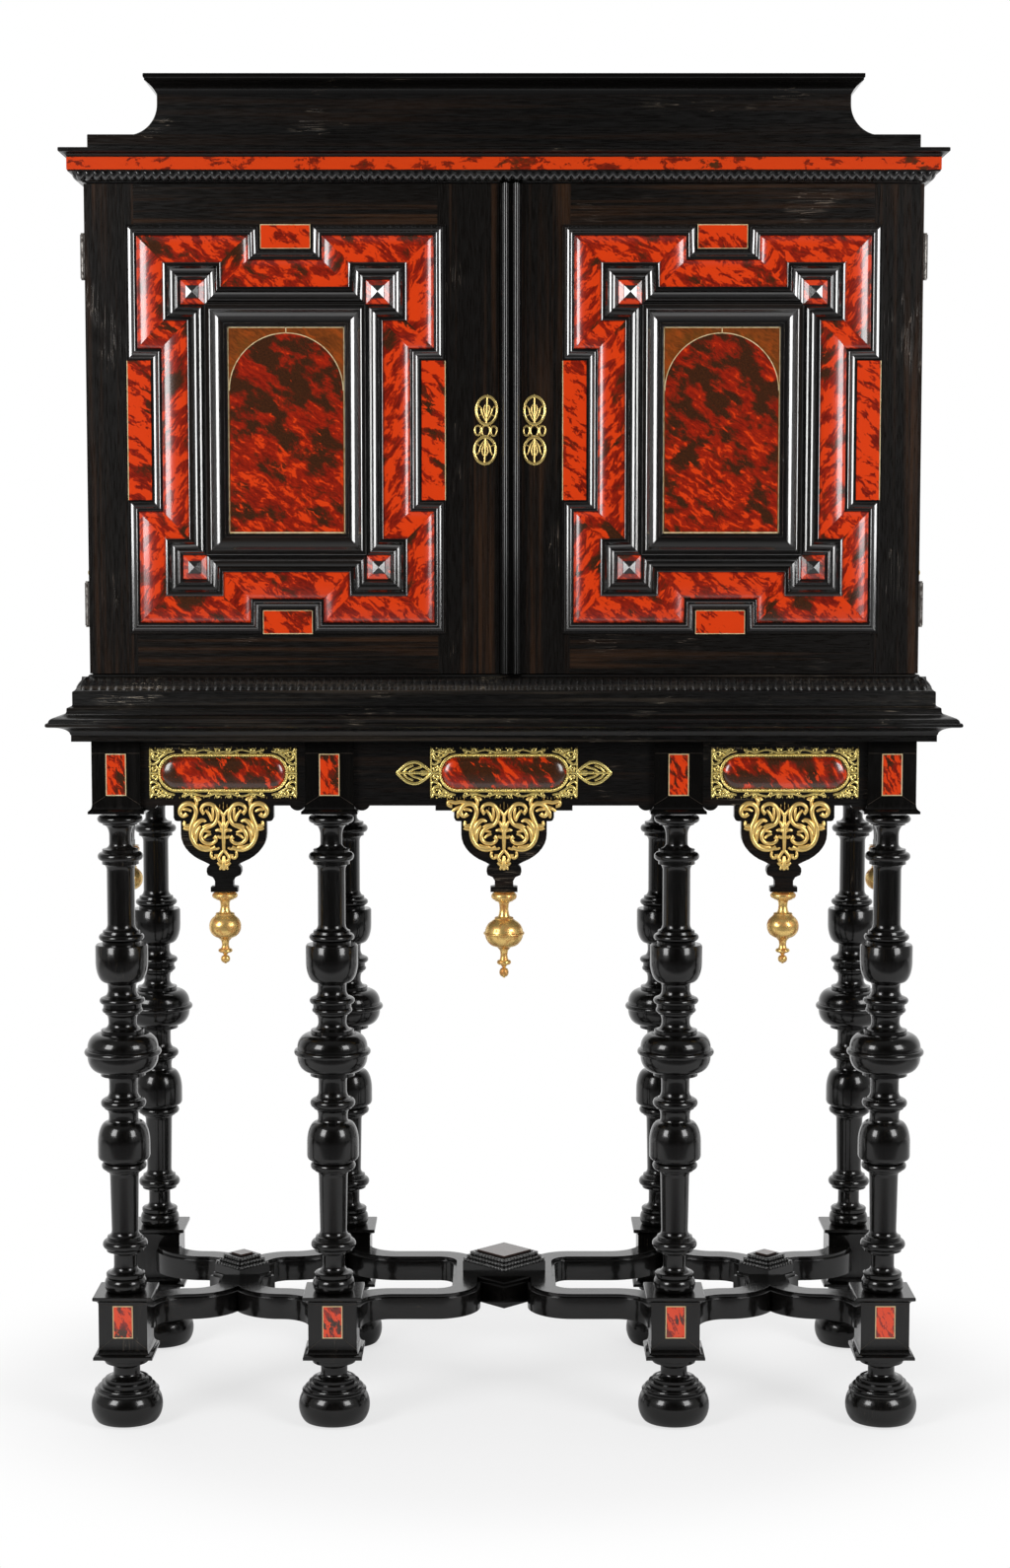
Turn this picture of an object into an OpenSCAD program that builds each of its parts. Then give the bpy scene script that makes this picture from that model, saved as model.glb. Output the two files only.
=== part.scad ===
// Ebonised cabinet with tortoiseshell doors, on a stand with eight turned legs.
// Millimetres. X runs to the right, Y to the back, Z up. The origin is on the
// floor, under the middle of the whole piece, and the doors face -Y.

/* [Case] */
// Width of the case and of the pair of doors
case_w = 1152; // [1000:1:1300]
// Depth of the case behind the doors
case_d = 424; // [380:1:480]
// Height of the case between plinth and cornice
case_h = 674; // [600:1:760]
// Thickness of the case sides, top and bottom
board_t = 20; // [16:1:26]
// Thickness of the back panel
back_t = 10; // [6:1:14]

/* [Plinth and cornice] */
// Height of the moulded plinth under the case
plinth_h = 46; // [40:1:60]
// Height of the moulded cornice
cornice_h = 44; // [40:1:54]
// How far the cornice stands proud of the case
cornice_out = 30; // [24:1:40]
// Height of the tortoiseshell band round the cornice
band_h = 17; // [12:1:22]
// Thickness of the tortoiseshell band
band_t = 2; // [1:0.5:3]
// Height of the plain step on the cornice
step_h = 22; // [14:1:34]
// Height of the cresting
cresting_h = 81; // [70:1:110]
// Half width of the cresting at its waist
cresting_half = 476; // [420:1:500]
// Radius of the hollow at each end of the cresting
cresting_hollow = 42; // [34:1:50]
// Thickness of the boards of the cresting
cresting_t = 18; // [12:1:24]

/* [Doors] */
// Thickness of a door
door_t = 24; // [20:1:30]
// Gap between door and case front
door_back_gap = 0.5; // [0.4:0.1:1]
// Gap above and below a door
door_end_gap = 1.5; // [1:0.1:3]
// Gap where the doors meet
meeting_gap = 1; // [0.8:0.1:2]
// How far the meeting line lies left of the middle
meeting_off = 6; // [4:1:8]
// Distance from the middle of the case to the middle of each door panel
panel_x = 300; // [296:1:304]
// Width of the raised centre of a door panel
centre_w = 221; // [200:1:226]
// Height of the raised centre of a door panel
centre_h = 343; // [300:1:380]
// Width of the square boss at each corner
boss_w = 33; // [28:1:36]
// Width of the inner ebony moulding
reed_w = 23; // [20:1:26]
// Width of the tortoiseshell moulding
shell_w = 37; // [32:1:38]
// Width of the outer ebony moulding
edge_w = 16; // [12:1:18]
// Width of the hollow frame round the central panel
frame_w = 28; // [22:1:34]
// Thickness of the flat tortoiseshell panels
panel_t = 3; // [2:0.5:4]
// Gap between mitred lengths
mitre_gap = 0.1; // [0.05:0.05:0.2]
// Width of the cover strip at the meeting line
strip_w = 30; // [26:1:34]
// Height of the cover strip above the door face
strip_t = 12; // [8:1:16]
// Height of an escutcheon
escutcheon_h = 98; // [80:1:110]
// Radius of the keyhole
keyhole_r = 3.5; // [3:0.1:4]

/* [Stand] */
// Distance between front and rear leg axes
leg_depth = 380; // [350:1:420]
// Distance from the middle to the axis of an inner leg
leg_inner = 244; // [230:1:260]
// Width of the square block at the head of a leg
block_w = 68; // [62:1:74]
// Height of the square block at the head of a leg
block_h = 106; // [98:1:120]
// Width of the square block at the foot of a leg
low_block_w = 66; // [62:1:72]
// Height of the square block at the foot of a leg
low_block_h = 91; // [86:1:110]
// Thickness of the small mouldings round the blocks
block_lip = 5; // [3:1:6]
// Height of a bun foot
foot_h = 101; // [96:1:110]
// Radius of a bun foot
foot_r = 51; // [47:1:55]
// Length of the lower plain shaft
lower_shaft = 78; // [60:1:110]
// Length of the upper plain shaft
upper_shaft = 76; // [60:1:110]
// Radius of the plain shafts
shaft_r = 19.5; // [18:0.5:21]
// Radius of the turned rings
ring_r = 32; // [30:0.5:34]
// Radius of the cups above and below the ball
cup_r = 37; // [35:0.5:39]
// Radius of the flattened ball
ball_r = 50; // [46:0.5:54]
// Thickness of the stand top
top_t = 46; // [40:1:54]
// How far the stand top stands proud at the front and sides
top_out = 55; // [48:1:66]
// How far the stand top stands proud at the back
top_back = 10; // [0:1:20]

/* [Frieze] */
// Height of the frieze boards
frieze_h = 92; // [86:1:96]
// Thickness of the frieze boards
frieze_t = 18; // [14:1:22]
// How far the boards lie behind the block faces
frieze_set = 8; // [4:1:12]
// Half width of the round part of an apron
apron_half = 60; // [54:1:64]
// Height of the round part of an apron
apron_drop = 44; // [40:1:50]
// Distance between a gilt frame and the blocks beside it
gilt_gap = 12; // [8:1:18]
// Height of a gilt frame
gilt_h = 70; // [62:1:76]
// Thickness of a gilt frame
gilt_t = 2.5; // [2:0.5:4]
// Distance between the ends of a cabochon and the ends of its frame
gilt_end = 16; // [13:1:20]
// Distance between a cabochon and the upper and lower edge of its frame
gilt_edge = 12.5; // [10:0.5:15]
// Rise of a cabochon above the board
cabochon_t = 9; // [6:1:11]
// Ball radius of the middle pendant
pendant_r = 27; // [24:1:29]
// Ball radius of the other pendants
side_pendant_r = 22.5; // [20:0.5:24]

/* [Stretcher] */
// Thickness of the stretcher boards
stretcher_t = 36; // [30:1:40]
// Height of the stretcher top above the floor
stretcher_z = 166; // [156:1:172]
// Width of a stretcher arm
arm_w = 42; // [36:1:46]
// Distance from a leg axis to the middle of the arm beside it
arm_in = 86; // [80:1:92]
// Distance from the middle to a small boss
small_boss_x = 394; // [390:1:398]
// Half diagonal of the middle boss
boss_half = 62; // [56:1:66]
// Half diagonal of a small boss
small_boss_half = 41; // [38:1:44]
// Width of the moulded edge of the stretcher
arm_edge = 5; // [3:1:6]

/* [Fittings] */
// Radius of a hinge pin
pin_r = 2; // [1.6:0.1:2.4]
// Clearance round a hinge pin
pin_clear = 0.05; // [0.02:0.01:0.1]
// Outer radius of a hinge knuckle
knuckle_r = 4.5; // [4:0.1:5]
// Length of a hinge
hinge_l = 60; // [48:1:80]
// Thickness of a hinge leaf
leaf_t = 1.6; // [1.2:0.1:2]
// Width of a hinge leaf
leaf_w = 18; // [14:1:22]
// Height of the middle of a hinge from the end of the door
hinge_end = 96; // [80:1:150]
// Travel of the lock bolt
bolt_travel = 10; // [8:1:12]
// Travel of the slide bolts
slide_travel = 12; // [8:1:14]
// Running clearance of the bolts
bolt_clear = 0.3; // [0.2:0.1:0.6]
// Distance between the pivots of a carrying handle
handle_w = 110; // [90:1:130]
// Drop of a carrying handle
handle_drop = 42; // [36:1:52]
// Radius of the rod of a carrying handle
handle_r = 4; // [3:0.5:5]
// Height of the handle pivots above the case bottom
handle_z = 140; // [120:1:400]
// Distance of the handle pivots from the case side
handle_out = 22; // [18:1:28]

/* [Inside] */
// Width of the middle cupboard
cupboard_w = 380; // [320:1:440]
// Number of drawers in each side nest
drawer_rows = 5; // [4:1:6]
// Thickness of the partitions
partition_t = 12; // [8:1:16]
// Thickness of the shelves between drawers
shelf_t = 8; // [6:1:10]
// How far the fitted inside lies behind the doors
inside_set = 20; // [18:1:30]
// Running gap round a drawer
drawer_gap = 1; // [0.5:0.1:1.5]
// Thickness of the drawer sides
drawer_wall = 8; // [6:1:10]
// Thickness of a drawer front
drawer_front = 16; // [12:1:20]

/* [Hidden] */

ebony = [0.09, 0.07, 0.06];
shell = [0.75, 0.16, 0.05];
gilt = [0.83, 0.66, 0.30];
inner_wood = [0.42, 0.26, 0.14];
steel = [0.45, 0.45, 0.47];

// The legs are set back a little, so that the middle of the whole piece is at Y = 0
ball_ring = 4.5;
body_d = case_d + door_back_gap + door_t;
front_reach = body_d / 2 + top_out;
back_reach = max(body_d / 2 + top_back, leg_depth / 2 + ball_r + ball_ring);
stand_mid = (front_reach - back_reach) / 2;
front_y = stand_mid - body_d / 2;
back_y = stand_mid + body_d / 2;
case_front = back_y - case_d;
case_half = case_w / 2;

// Heights of the stand, from the floor up
column_z = foot_h + low_block_h;
base_group = 89;
middle_group = 363;
cap_group = 80;
middle_z = base_group + lower_shaft;
cap_z = middle_z + middle_group + upper_shaft;
block_z = column_z + cap_z + cap_group;
top_z = block_z + block_h;
plinth_z = top_z + top_t;
case_z = plinth_z + plinth_h;
cornice_z = case_z + case_h;
cresting_z = cornice_z + cornice_h + step_h;

// Leg axes: four across, two deep
leg_outer = case_half - block_w / 2;
leg_xs = [-leg_outer, -leg_inner, leg_inner, leg_outer];
front_leg_y = stand_mid - leg_depth / 2;
rear_leg_y = stand_mid + leg_depth / 2;

eps = 0.01;
far = 2000;

// Curves for turned and moulded profiles, as lists of [outward, height]
bead_steps = 6;
quarter_steps = 3;
function bead(z0, z1, r0, r1) =
    [for (i = [0 : bead_steps]) let (a = -90 + 180 * i / bead_steps)
        [r0 + (r1 - r0) * cos(a), (z0 + z1) / 2 + (z1 - z0) / 2 * sin(a)]];
// A quarter curve that starts level and ends upright
function turn_up(z0, r0, z1, r1, n = quarter_steps) =
    [for (i = [0 : n]) let (a = 90 * i / n)
        [r0 + (r1 - r0) * sin(a), z0 + (z1 - z0) * (1 - cos(a))]];
// A quarter curve that starts upright and ends level
function turn_out(z0, r0, z1, r1, n = quarter_steps) =
    [for (i = [0 : n]) let (a = 90 * i / n)
        [r0 + (r1 - r0) * (1 - cos(a)), z0 + (z1 - z0) * sin(a)]];
function mirrored(points) =
    [for (i = [len(points) - 1 : -1 : 0]) [-points[i][0], points[i][1]]];

// Draws a flat shape in the XZ plane and gives it a thickness towards the back
module upright(t) {
    rotate([90, 0, 0]) translate([0, 0, -t]) linear_extrude(t) children();
}

module turned(profile) {
    rotate_extrude($fn = 64)
        polygon(concat([[0, profile[0][1]]], profile, [[0, profile[len(profile) - 1][1]]]));
}

// A slab whose edge moulding runs round the front and both sides and returns at
// mitred corners; the edge is a list of [outward from the case, height]
module moulded_slab(edge, back_out = 0) {
    top = edge[len(edge) - 1][1];
    bottom = edge[0][1];
    side = [for (p = edge) [case_half + p[0], p[1]]];
    intersection() {
        rotate([90, 0, 0]) translate([0, 0, -far / 2]) linear_extrude(far)
            polygon(concat(side, mirrored(side)));
        rotate([90, 0, 90]) translate([0, 0, -far / 2]) linear_extrude(far)
            polygon(concat([for (p = edge) [front_y - p[0], p[1]]],
                [[back_y + back_out, top], [back_y + back_out, bottom]]));
    }
}

// Turned profile of a leg between its blocks, from the lower block upwards
neck_r = 20;
slim_neck_r = 15.5;
function base_profile() = concat(
    bead(0, 20, 25, 30),
    [[25.5, 20.5], [27.5, 24], [27.5, 27]],
    turn_up(27.5, 26, 37, slim_neck_r + 1),
    turn_out(52.5, slim_neck_r + 1, 58.5, 26.5),
    [[26.5, 62]],
    bead(62, 75, 26, ring_r),
    [[26, 75.5]],
    turn_up(80, 25, base_group, shaft_r - 0.5));
function middle_profile(z) = concat(
    turn_out(z, shaft_r + 1, z + 8, 26),
    bead(z + 10, z + 21, 27, ring_r),
    [[28, z + 21.5], [28, z + 24]],
    turn_up(z + 24.5, 33, z + 31, cup_r),
    turn_out(z + 48, cup_r, z + 79, 24),
    turn_up(z + 79.5, 23, z + 85, neck_r + 1),
    turn_out(z + 88, neck_r + 1, z + 98, 27),
    bead(z + 100, z + 112, 27, ring_r),
    turn_up(z + 113, 26.5, z + 124, neck_r),
    turn_out(z + 136, neck_r, z + 145, 24),
    [[31.5, z + 145.5], [31.5, z + 150.5]],
    turn_up(z + 151, 33, z + 173, ball_r, 5),
    bead(z + 175, z + 184, ball_r, ball_r + ball_ring),
    turn_out(z + 186, ball_r, z + 206, 33, 5),
    [[30.5, z + 206.5], [30.5, z + 211]],
    turn_up(z + 211.5, 30, z + 221, neck_r),
    turn_out(z + 224, neck_r, z + 234, 24.5),
    bead(z + 236, z + 243, 25, ring_r - 3.5),
    [[27, z + 243.5], [27, z + 248]],
    bead(z + 248.5, z + 258, 27, ring_r),
    turn_up(z + 259, 26, z + 269, neck_r),
    turn_out(z + 273, neck_r, z + 279, 23.5),
    turn_up(z + 279.5, 24, z + 309, cup_r, 5),
    [[cup_r, z + 331], [cup_r - 1.5, z + 333.5], [27, z + 334], [27, z + 338.5]],
    bead(z + 339, z + 349, 26.5, ring_r),
    [[26, z + 353]],
    turn_up(z + 353.5, 25.5, z + middle_group, shaft_r));
function cap_profile(z) = concat(
    turn_out(z, shaft_r, z + 9, 26),
    [[26, z + 13.5]],
    bead(z + 14, z + 26, 26.5, ring_r),
    [[25.5, z + 26.5], [25.5, z + 30]],
    turn_up(z + 30.5, 25, z + 38, slim_neck_r),
    turn_out(z + 50, slim_neck_r, z + 65, 24.5),
    bead(z + 67, z + 79, 25, ring_r),
    [[25, z + cap_group]]);
leg_profile = concat(base_profile(), middle_profile(middle_z), cap_profile(cap_z));

inlay_w = 30;
inlay_h = 61;
low_inlay_h = 46;
inlay_t = 1.8;
inlay_sunk = 1.5;
low_inlay_mid = 0.59;

module plate_at(z, w, t) {
    translate([-w / 2, -w / 2, z]) cube([w, w, t]);
}

// One leg in one length of wood: lower block, turned column and head block
module leg(i) {
    front = i < 4;
    translate([leg_xs[i % 4], front ? front_leg_y : rear_leg_y, 0]) color(ebony)
    difference() {
        union() {
            plate_at(foot_h, low_block_w + 2 * block_lip, 6);
            plate_at(foot_h, low_block_w + block_lip, 12);
            plate_at(foot_h, low_block_w, low_block_h);
            plate_at(column_z - 6, low_block_w + 2 * block_lip, 6);
            translate([0, 0, column_z]) turned(leg_profile);
            plate_at(block_z, block_w, block_h);
            plate_at(block_z, block_w + 2 * block_lip, 6);
        }
        if (front) {
            inlay_recess(block_w, block_z + block_h / 2, inlay_h);
            inlay_recess(low_block_w, foot_h + low_inlay_mid * low_block_h, low_inlay_h);
        }
    }
}

module inlay_recess(w, z, h) {
    translate([-inlay_w / 2, -w / 2 - eps, z - h / 2]) cube([inlay_w, inlay_sunk + eps, h]);
}

module inlay(w, z, h) {
    translate([-inlay_w / 2 + mitre_gap, -w / 2 + inlay_sunk - inlay_t, z - h / 2 + mitre_gap])
        cube([inlay_w - 2 * mitre_gap, inlay_t, h - 2 * mitre_gap]);
}

// Tortoiseshell plates let into the front blocks
module block_inlays() {
    color(shell) for (x = leg_xs) translate([x, front_leg_y, 0]) {
        inlay(block_w, block_z + block_h / 2, inlay_h);
        inlay(low_block_w, foot_h + low_inlay_mid * low_block_h, low_inlay_h);
    }
}

// Stepped bun foot with a short neck and a collar under the block
foot_profile = concat(
    [[31, 0]],
    [for (a = [-52 : 26 : 52]) [foot_r - 18 + 18 * cos(a), 25 + 26 * sin(a)]],
    [[46, 45.5], [46, 48]],
    turn_out(49, 43, 54, 40, 2),
    [[36, 54.5], [36, 60]],
    [[31, 60.5], [31, 65]],
    turn_up(66, 29, 73, 19),
    turn_out(80, 19, 88, 27.5),
    [[31, 88.5], [31, 93], [39, 96], [39, foot_h]]);

module feet() {
    color(ebony) for (x = leg_xs, y = [front_leg_y, rear_leg_y])
        translate([x, y, 0]) turned(foot_profile);
}

// Edge of the stand top: hollow below, thin lip, ogee above
top_under = 24;
module stand_top() {
    color(ebony) moulded_slab(concat(
        [[top_under, top_z], [top_under, top_z + 9]],
        turn_out(top_z + 10, top_under + 1, top_z + 21, top_out - 5, 4),
        [[top_out - 1, top_z + 22], [top_out, top_z + 25], [top_out - 2, top_z + 27]],
        turn_out(top_z + 28, top_out - 4, top_z + 35, top_out - 15),
        turn_up(top_z + 35.5, top_out - 16, top_z + top_t - 3, top_out - 26),
        [[top_out - 26, top_z + top_t]]), top_back);
}

// Frieze boards with rounded ears beside the blocks
frieze_z = top_z - frieze_h;
ear_r = 12;
module ear(x) {
    translate([x, frieze_z + 5]) circle(r = ear_r, $fn = 32);
}

module frieze_outline(x0, x1) {
    translate([x0, frieze_z]) square([x1 - x0, frieze_h]);
    intersection() {
        union() {
            ear(x0 + ear_r - 1);
            ear(x1 - ear_r + 1);
        }
        translate([x0, frieze_z - far / 2]) square([x1 - x0, far]);
    }
}

// Right half of an apron from its shoulder down to the plate that the pendant hangs from
apron_step = 24;
shoulder_x = 70;
function apron_side(shoulder, shoulder_z) = concat(
    [[shoulder, frieze_z + 4], [shoulder, shoulder_z + 5],
        [shoulder - 2, shoulder_z + 1], [shoulder - 5, shoulder_z], [apron_half, shoulder_z]],
    [for (a = [0 : 9 : 63]) [apron_half * cos(a),
        shoulder_z - apron_step + 6 - apron_drop * sin(a)]],
    [[20, shoulder_z - 61], [24, shoulder_z - 66], [24.5, shoulder_z - 71],
        [23, shoulder_z - 76], [16, shoulder_z - 79], [13, shoulder_z - 84],
        [13, shoulder_z - 92], [19, shoulder_z - 93], [19, shoulder_z - 100]]);

shoulder_drop = 22;
front_shoulder = frieze_z - shoulder_drop;
apron_low = front_shoulder - 100;
side_cut = 42;
module apron(shoulder, shoulder_z) {
    half = apron_side(shoulder, shoulder_z);
    polygon(concat(half, mirrored(half)));
}

frieze_y = front_y + frieze_set;
bay_x = (leg_outer + leg_inner) / 2;
gilt_w = leg_outer - leg_inner - block_w - 2 * gilt_gap;
cabochon_w = gilt_w - 2 * gilt_end;
cabochon_h = gilt_h - 2 * gilt_edge;
centre_bar = 96;
module frieze_front() {
    half_block = block_w / 2;
    color(ebony) translate([0, frieze_y, 0]) upright(frieze_t) {
        for (side = [-1, 1]) {
            a = side * leg_inner + side * half_block;
            b = side * leg_outer - side * half_block;
            frieze_outline(min(a, b), max(a, b));
            translate([side * bay_x, 0]) apron(shoulder_x, front_shoulder);
        }
        frieze_outline(-leg_inner + half_block, leg_inner - half_block);
        apron(shoulder_x, front_shoulder);
        translate([-centre_bar, frieze_z - 7]) square([2 * centre_bar, 12]);
    }
}

module frieze_back() {
    color(ebony) for (i = [0 : 2])
        translate([leg_xs[i] + block_w / 2, back_y - frieze_set - frieze_t, frieze_z])
            cube([leg_xs[i + 1] - leg_xs[i] - block_w, frieze_t, frieze_h]);
}

// Side frieze, drawn from the front and turned to face the side
side_apron_z = frieze_z - shoulder_drop + side_cut;
module side_frieze(side) {
    length = leg_depth - block_w;
    color(ebony)
    translate([side * (case_half - frieze_set), stand_mid, 0]) rotate([0, 0, side * 90])
        upright(frieze_t) {
            frieze_outline(-length / 2, length / 2);
            translate([0, side_cut]) intersection() {
                apron(shoulder_x, front_shoulder);
                translate([-far / 2, apron_low - 1]) square([far, shoulder_drop + 99]);
            }
        }
}

// Pendants, turned and gilt; the origin of the profile is its top
function pendant_profile(r) = concat(
    [[1.5, -4.55 * r]],
    turn_up(-4.54 * r, 2, -4.3 * r, 6.5),
    turn_out(-4.2 * r, 6.5, -4.0 * r, 4),
    [[4, -3.9 * r], [9.5, -3.75 * r], [9.5, -3.65 * r], [5.5, -3.4 * r], [5.5, -3.15 * r],
        [10, -3.0 * r]],
    [for (a = [-70 : 20 : 70]) [0.35 * r + 0.65 * r * cos(a), -2.2 * r + 0.72 * r * sin(a)]],
    [[13, -1.4 * r], [7, -1.3 * r], [7, -0.55 * r], [16, -0.4 * r], [18, -0.3 * r], [18, 0]]);

module pendant(x, y, z, r) {
    translate([x, y, z]) turned(pendant_profile(r));
}

module pendants() {
    y = frieze_y + frieze_t / 2;
    color(gilt) {
        pendant(0, y, apron_low, pendant_r);
        for (side = [-1, 1]) {
            pendant(side * bay_x, y, apron_low, side_pendant_r);
            pendant(side * (case_half - frieze_set - frieze_t / 2), stand_mid,
                apron_low + side_cut, side_pendant_r);
        }
    }
}

gilt_z = frieze_z + frieze_h / 2;
gilt_xs = [-bay_x, 0, bay_x];
module stadium(w, h) {
    translate([-w / 2 + h / 2, 0]) circle(d = h, $fn = 48);
    translate([w / 2 - h / 2, 0]) circle(d = h, $fn = 48);
    square([w - h, h], center = true);
}

// Long pads of tortoiseshell with round ends, ground to an even dome
dome_step = 15;
dome_flat = 3;
module cabochons() {
    straight = cabochon_w - cabochon_h;
    dome = concat([for (a = [0 : dome_step : 90 - dome_step])
        [cabochon_h / 2 * cos(a), cabochon_t * sin(a)]], [[dome_flat, cabochon_t]]);
    color(shell) for (x = gilt_xs) translate([x, frieze_y, gilt_z]) rotate([90, 0, 0]) {
        for (side = [-1, 1]) translate([side * straight / 2, 0, 0])
            rotate_extrude($fn = 48) polygon(concat([[0, 0]], dome, [[0, cabochon_t]]));
        rotate([90, 0, 90]) translate([0, 0, -straight / 2]) linear_extrude(straight)
            polygon(concat(dome, mirrored(dome)));
    }
}

// Pierced gilt frames, the middle one with a leaf at each side
frame_lip = 0.4;
module cabochon_frames() {
    color(gilt) for (x = gilt_xs) translate([x, frieze_y, gilt_z]) rotate([90, 0, 0])
        linear_extrude(gilt_t) {
            difference() {
                square([gilt_w, gilt_h], center = true);
                stadium(cabochon_w + 2 * frame_lip, cabochon_h + 2 * frame_lip);
                for (sx = [-1, 1], sz = [-1, 1])
                    translate([sx * (gilt_w / 2 - 12), sz * (gilt_h / 2 - 9)])
                        circle(r = 4, $fn = 24);
            }
            if (x == 0) for (sx = [-1, 1]) translate([sx * gilt_w / 2, 0]) leaf_wing(sx);
        }
}

module leaf_wing(side) {
    length = 47;
    half = 17;
    arc_r = (length * length / 4 + half * half) / (2 * half);
    difference() {
        intersection() {
            translate([side * length / 2, arc_r - half]) circle(r = arc_r, $fn = 64);
            translate([side * length / 2, half - arc_r]) circle(r = arc_r, $fn = 64);
        }
        translate([side * length * 0.40, 0]) circle(r = 6, $fn = 24);
        translate([side * length * 0.70, 0]) circle(r = 3, $fn = 24);
    }
    translate([side * 2.5 - 3, -3]) square([6, 6]);
}

// Gilt scroll mounts on the front aprons
module scroll(x, z, r, w) {
    for (side = [-1, 1]) translate([side * x, z]) difference() {
        circle(r = r, $fn = 40);
        circle(r = r - w, $fn = 40);
    }
}

mount_h = 104;
module apron_mounts() {
    color(gilt) for (x = gilt_xs) translate([x, frieze_y, front_shoulder - 70])
        rotate([90, 0, 0]) linear_extrude(gilt_t) {
            scroll(41, mount_h - 22, 20, 7);
            scroll(17, mount_h - 30, 14, 6);
            scroll(36, mount_h - 51, 17, 6);
            scroll(17, mount_h - 63, 16, 6);
            translate([-3.5, 12]) square([7, mount_h - 18]);
            polygon([[0, 0], [9, 14], [15, 30], [0, 38], [-15, 30], [-9, 14]]);
            translate([0, mount_h - 12]) circle(r = 8, $fn = 32);
        }
}

// Stretcher: curved arms that leave the block sides, run along and sweep in to the bosses
arm_turn = 44;
arm_y = leg_depth / 2 - arm_in;
turn_set = 4;
low_half = low_block_w / 2;
arc_steps = 12;
function arc(x, y, r, a0, a1) =
    [for (i = [0 : arc_steps]) let (a = a0 + (a1 - a0) * i / arc_steps)
        [x + r * cos(a), y + r * sin(a)]];

// One arm in plan, from the right side of a block at x0 to a boss at x1, drawn in
// the rear half; e takes the moulded edge back
module arm_plan(x0, x1, sweep, e) {
    outer = arm_y + arm_w / 2;
    turn_x = x0 + arm_turn + turn_set;
    turn_y = outer + arm_turn;
    sweep_x = max(turn_x + 1, x1 - sweep - 35);
    sweep_y = outer - sweep;
    polygon(concat(
        arc(turn_x, turn_y, arm_turn + e, 180, 270),
        arc(sweep_x, sweep_y, sweep - e, 90, 0),
        [[sweep_x + sweep - e, -10], [sweep_x + sweep - arm_w + e, -10]],
        arc(sweep_x, sweep_y, sweep - arm_w + e, 0, 90),
        arc(turn_x, turn_y, arm_turn + arm_w - e, 270, 180)));
}

module diamond(half) {
    rotate(45) square(half * sqrt(2), center = true);
}

long_sweep = 65;
short_sweep = 76;
under_boss = 8;
// The quarter of the stretcher at the rear right of its middle
module stretcher_quarter_plan(e) {
    difference() {
        intersection() {
            union() {
                translate([leg_inner - low_half, 0]) mirror([1, 0])
                    arm_plan(0, leg_inner - low_half, long_sweep, e);
                arm_plan(leg_inner + low_half, small_boss_x, short_sweep, e);
                translate([leg_outer - low_half, 0]) mirror([1, 0])
                    arm_plan(0, leg_outer - low_half - small_boss_x, short_sweep, e);
                diamond(boss_half + under_boss - e);
                translate([small_boss_x, 0]) diamond(small_boss_half + under_boss - e);
            }
            square([leg_outer, leg_depth]);
        }
        for (x = [leg_inner, leg_outer])
            translate([x - low_half, leg_depth / 2 - low_half]) square([low_block_w, far]);
    }
}

module stretcher_quarter(side, end) {
    color(ebony) translate([0, stand_mid, stretcher_z - stretcher_t])
        mirror([side < 0 ? 1 : 0, 0, 0]) mirror([0, end < 0 ? 1 : 0, 0]) {
            linear_extrude(stretcher_t - arm_edge) stretcher_quarter_plan(0);
            translate([0, 0, stretcher_t - arm_edge]) linear_extrude(arm_edge)
                stretcher_quarter_plan(arm_edge);
        }
}

// Square bosses set cornerwise on the stretcher: a thick plate, three rippled rows
// that step in, and a low bed for the panel
boss_row_h = 5;
boss_rows = 3;
module boss(x, half, plate_t, row_in, panel_half) {
    translate([x, stand_mid, stretcher_z]) {
        linear_extrude(plate_t) diamond(half);
        for (row = [1 : boss_rows])
            linear_extrude(plate_t + boss_row_h * row) diamond(half - row_in * row + row_in - 1);
        linear_extrude(plate_t + boss_row_h * boss_rows + 1) diamond(panel_half + 2);
    }
}

boss_plate = 17;
boss_row_in = 5;
small_boss_plate = 13;
small_row_in = 6;
boss_rise = boss_plate + boss_row_h * boss_rows + 1;
small_boss_rise = small_boss_plate + boss_row_h * boss_rows + 1;
boss_panel_half = 41;
small_panel_half = 17;
module stretcher_bosses() {
    color(ebony) {
        boss(0, boss_half, boss_plate, boss_row_in, boss_panel_half);
        for (side = [-1, 1])
            boss(side * small_boss_x, small_boss_half, small_boss_plate, small_row_in,
                small_panel_half);
    }
}

module boss_panels() {
    color(shell) translate([0, stand_mid, stretcher_z]) {
        translate([0, 0, boss_rise]) linear_extrude(inlay_t) diamond(boss_panel_half - 1);
        for (side = [-1, 1]) translate([side * small_boss_x, 0, small_boss_rise])
            linear_extrude(inlay_t) diamond(small_panel_half - 1);
    }
}

// Plinth under the case: sloped foot, flat face and a rippled chamfer
plinth_out = 22;
module cabinet_plinth() {
    color(ebony) moulded_slab([
        [plinth_out + 7, plinth_z], [plinth_out, plinth_z + 4], [plinth_out, plinth_z + 23],
        [plinth_out - 2, plinth_z + 24], [plinth_out - 5, plinth_z + 29],
        [plinth_out - 11, plinth_z + 35], [3, plinth_z + 43], [1, case_z]]);
}

module case_board(x0, x1, z0, z1) {
    translate([x0, case_front, z0]) cube([x1 - x0, case_d, z1 - z0]);
}

module side_left() {
    color(ebony) case_board(-case_half, -case_half + board_t, case_z, cornice_z);
}

module side_right() {
    color(ebony) case_board(case_half - board_t, case_half, case_z, cornice_z);
}

inner_half = case_half - board_t;
module carcase_top() {
    color(inner_wood) difference() {
        case_board(-inner_half, inner_half, cornice_z - board_t, cornice_z);
        slide_socket(cornice_z - board_t, 1);
    }
}

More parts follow.
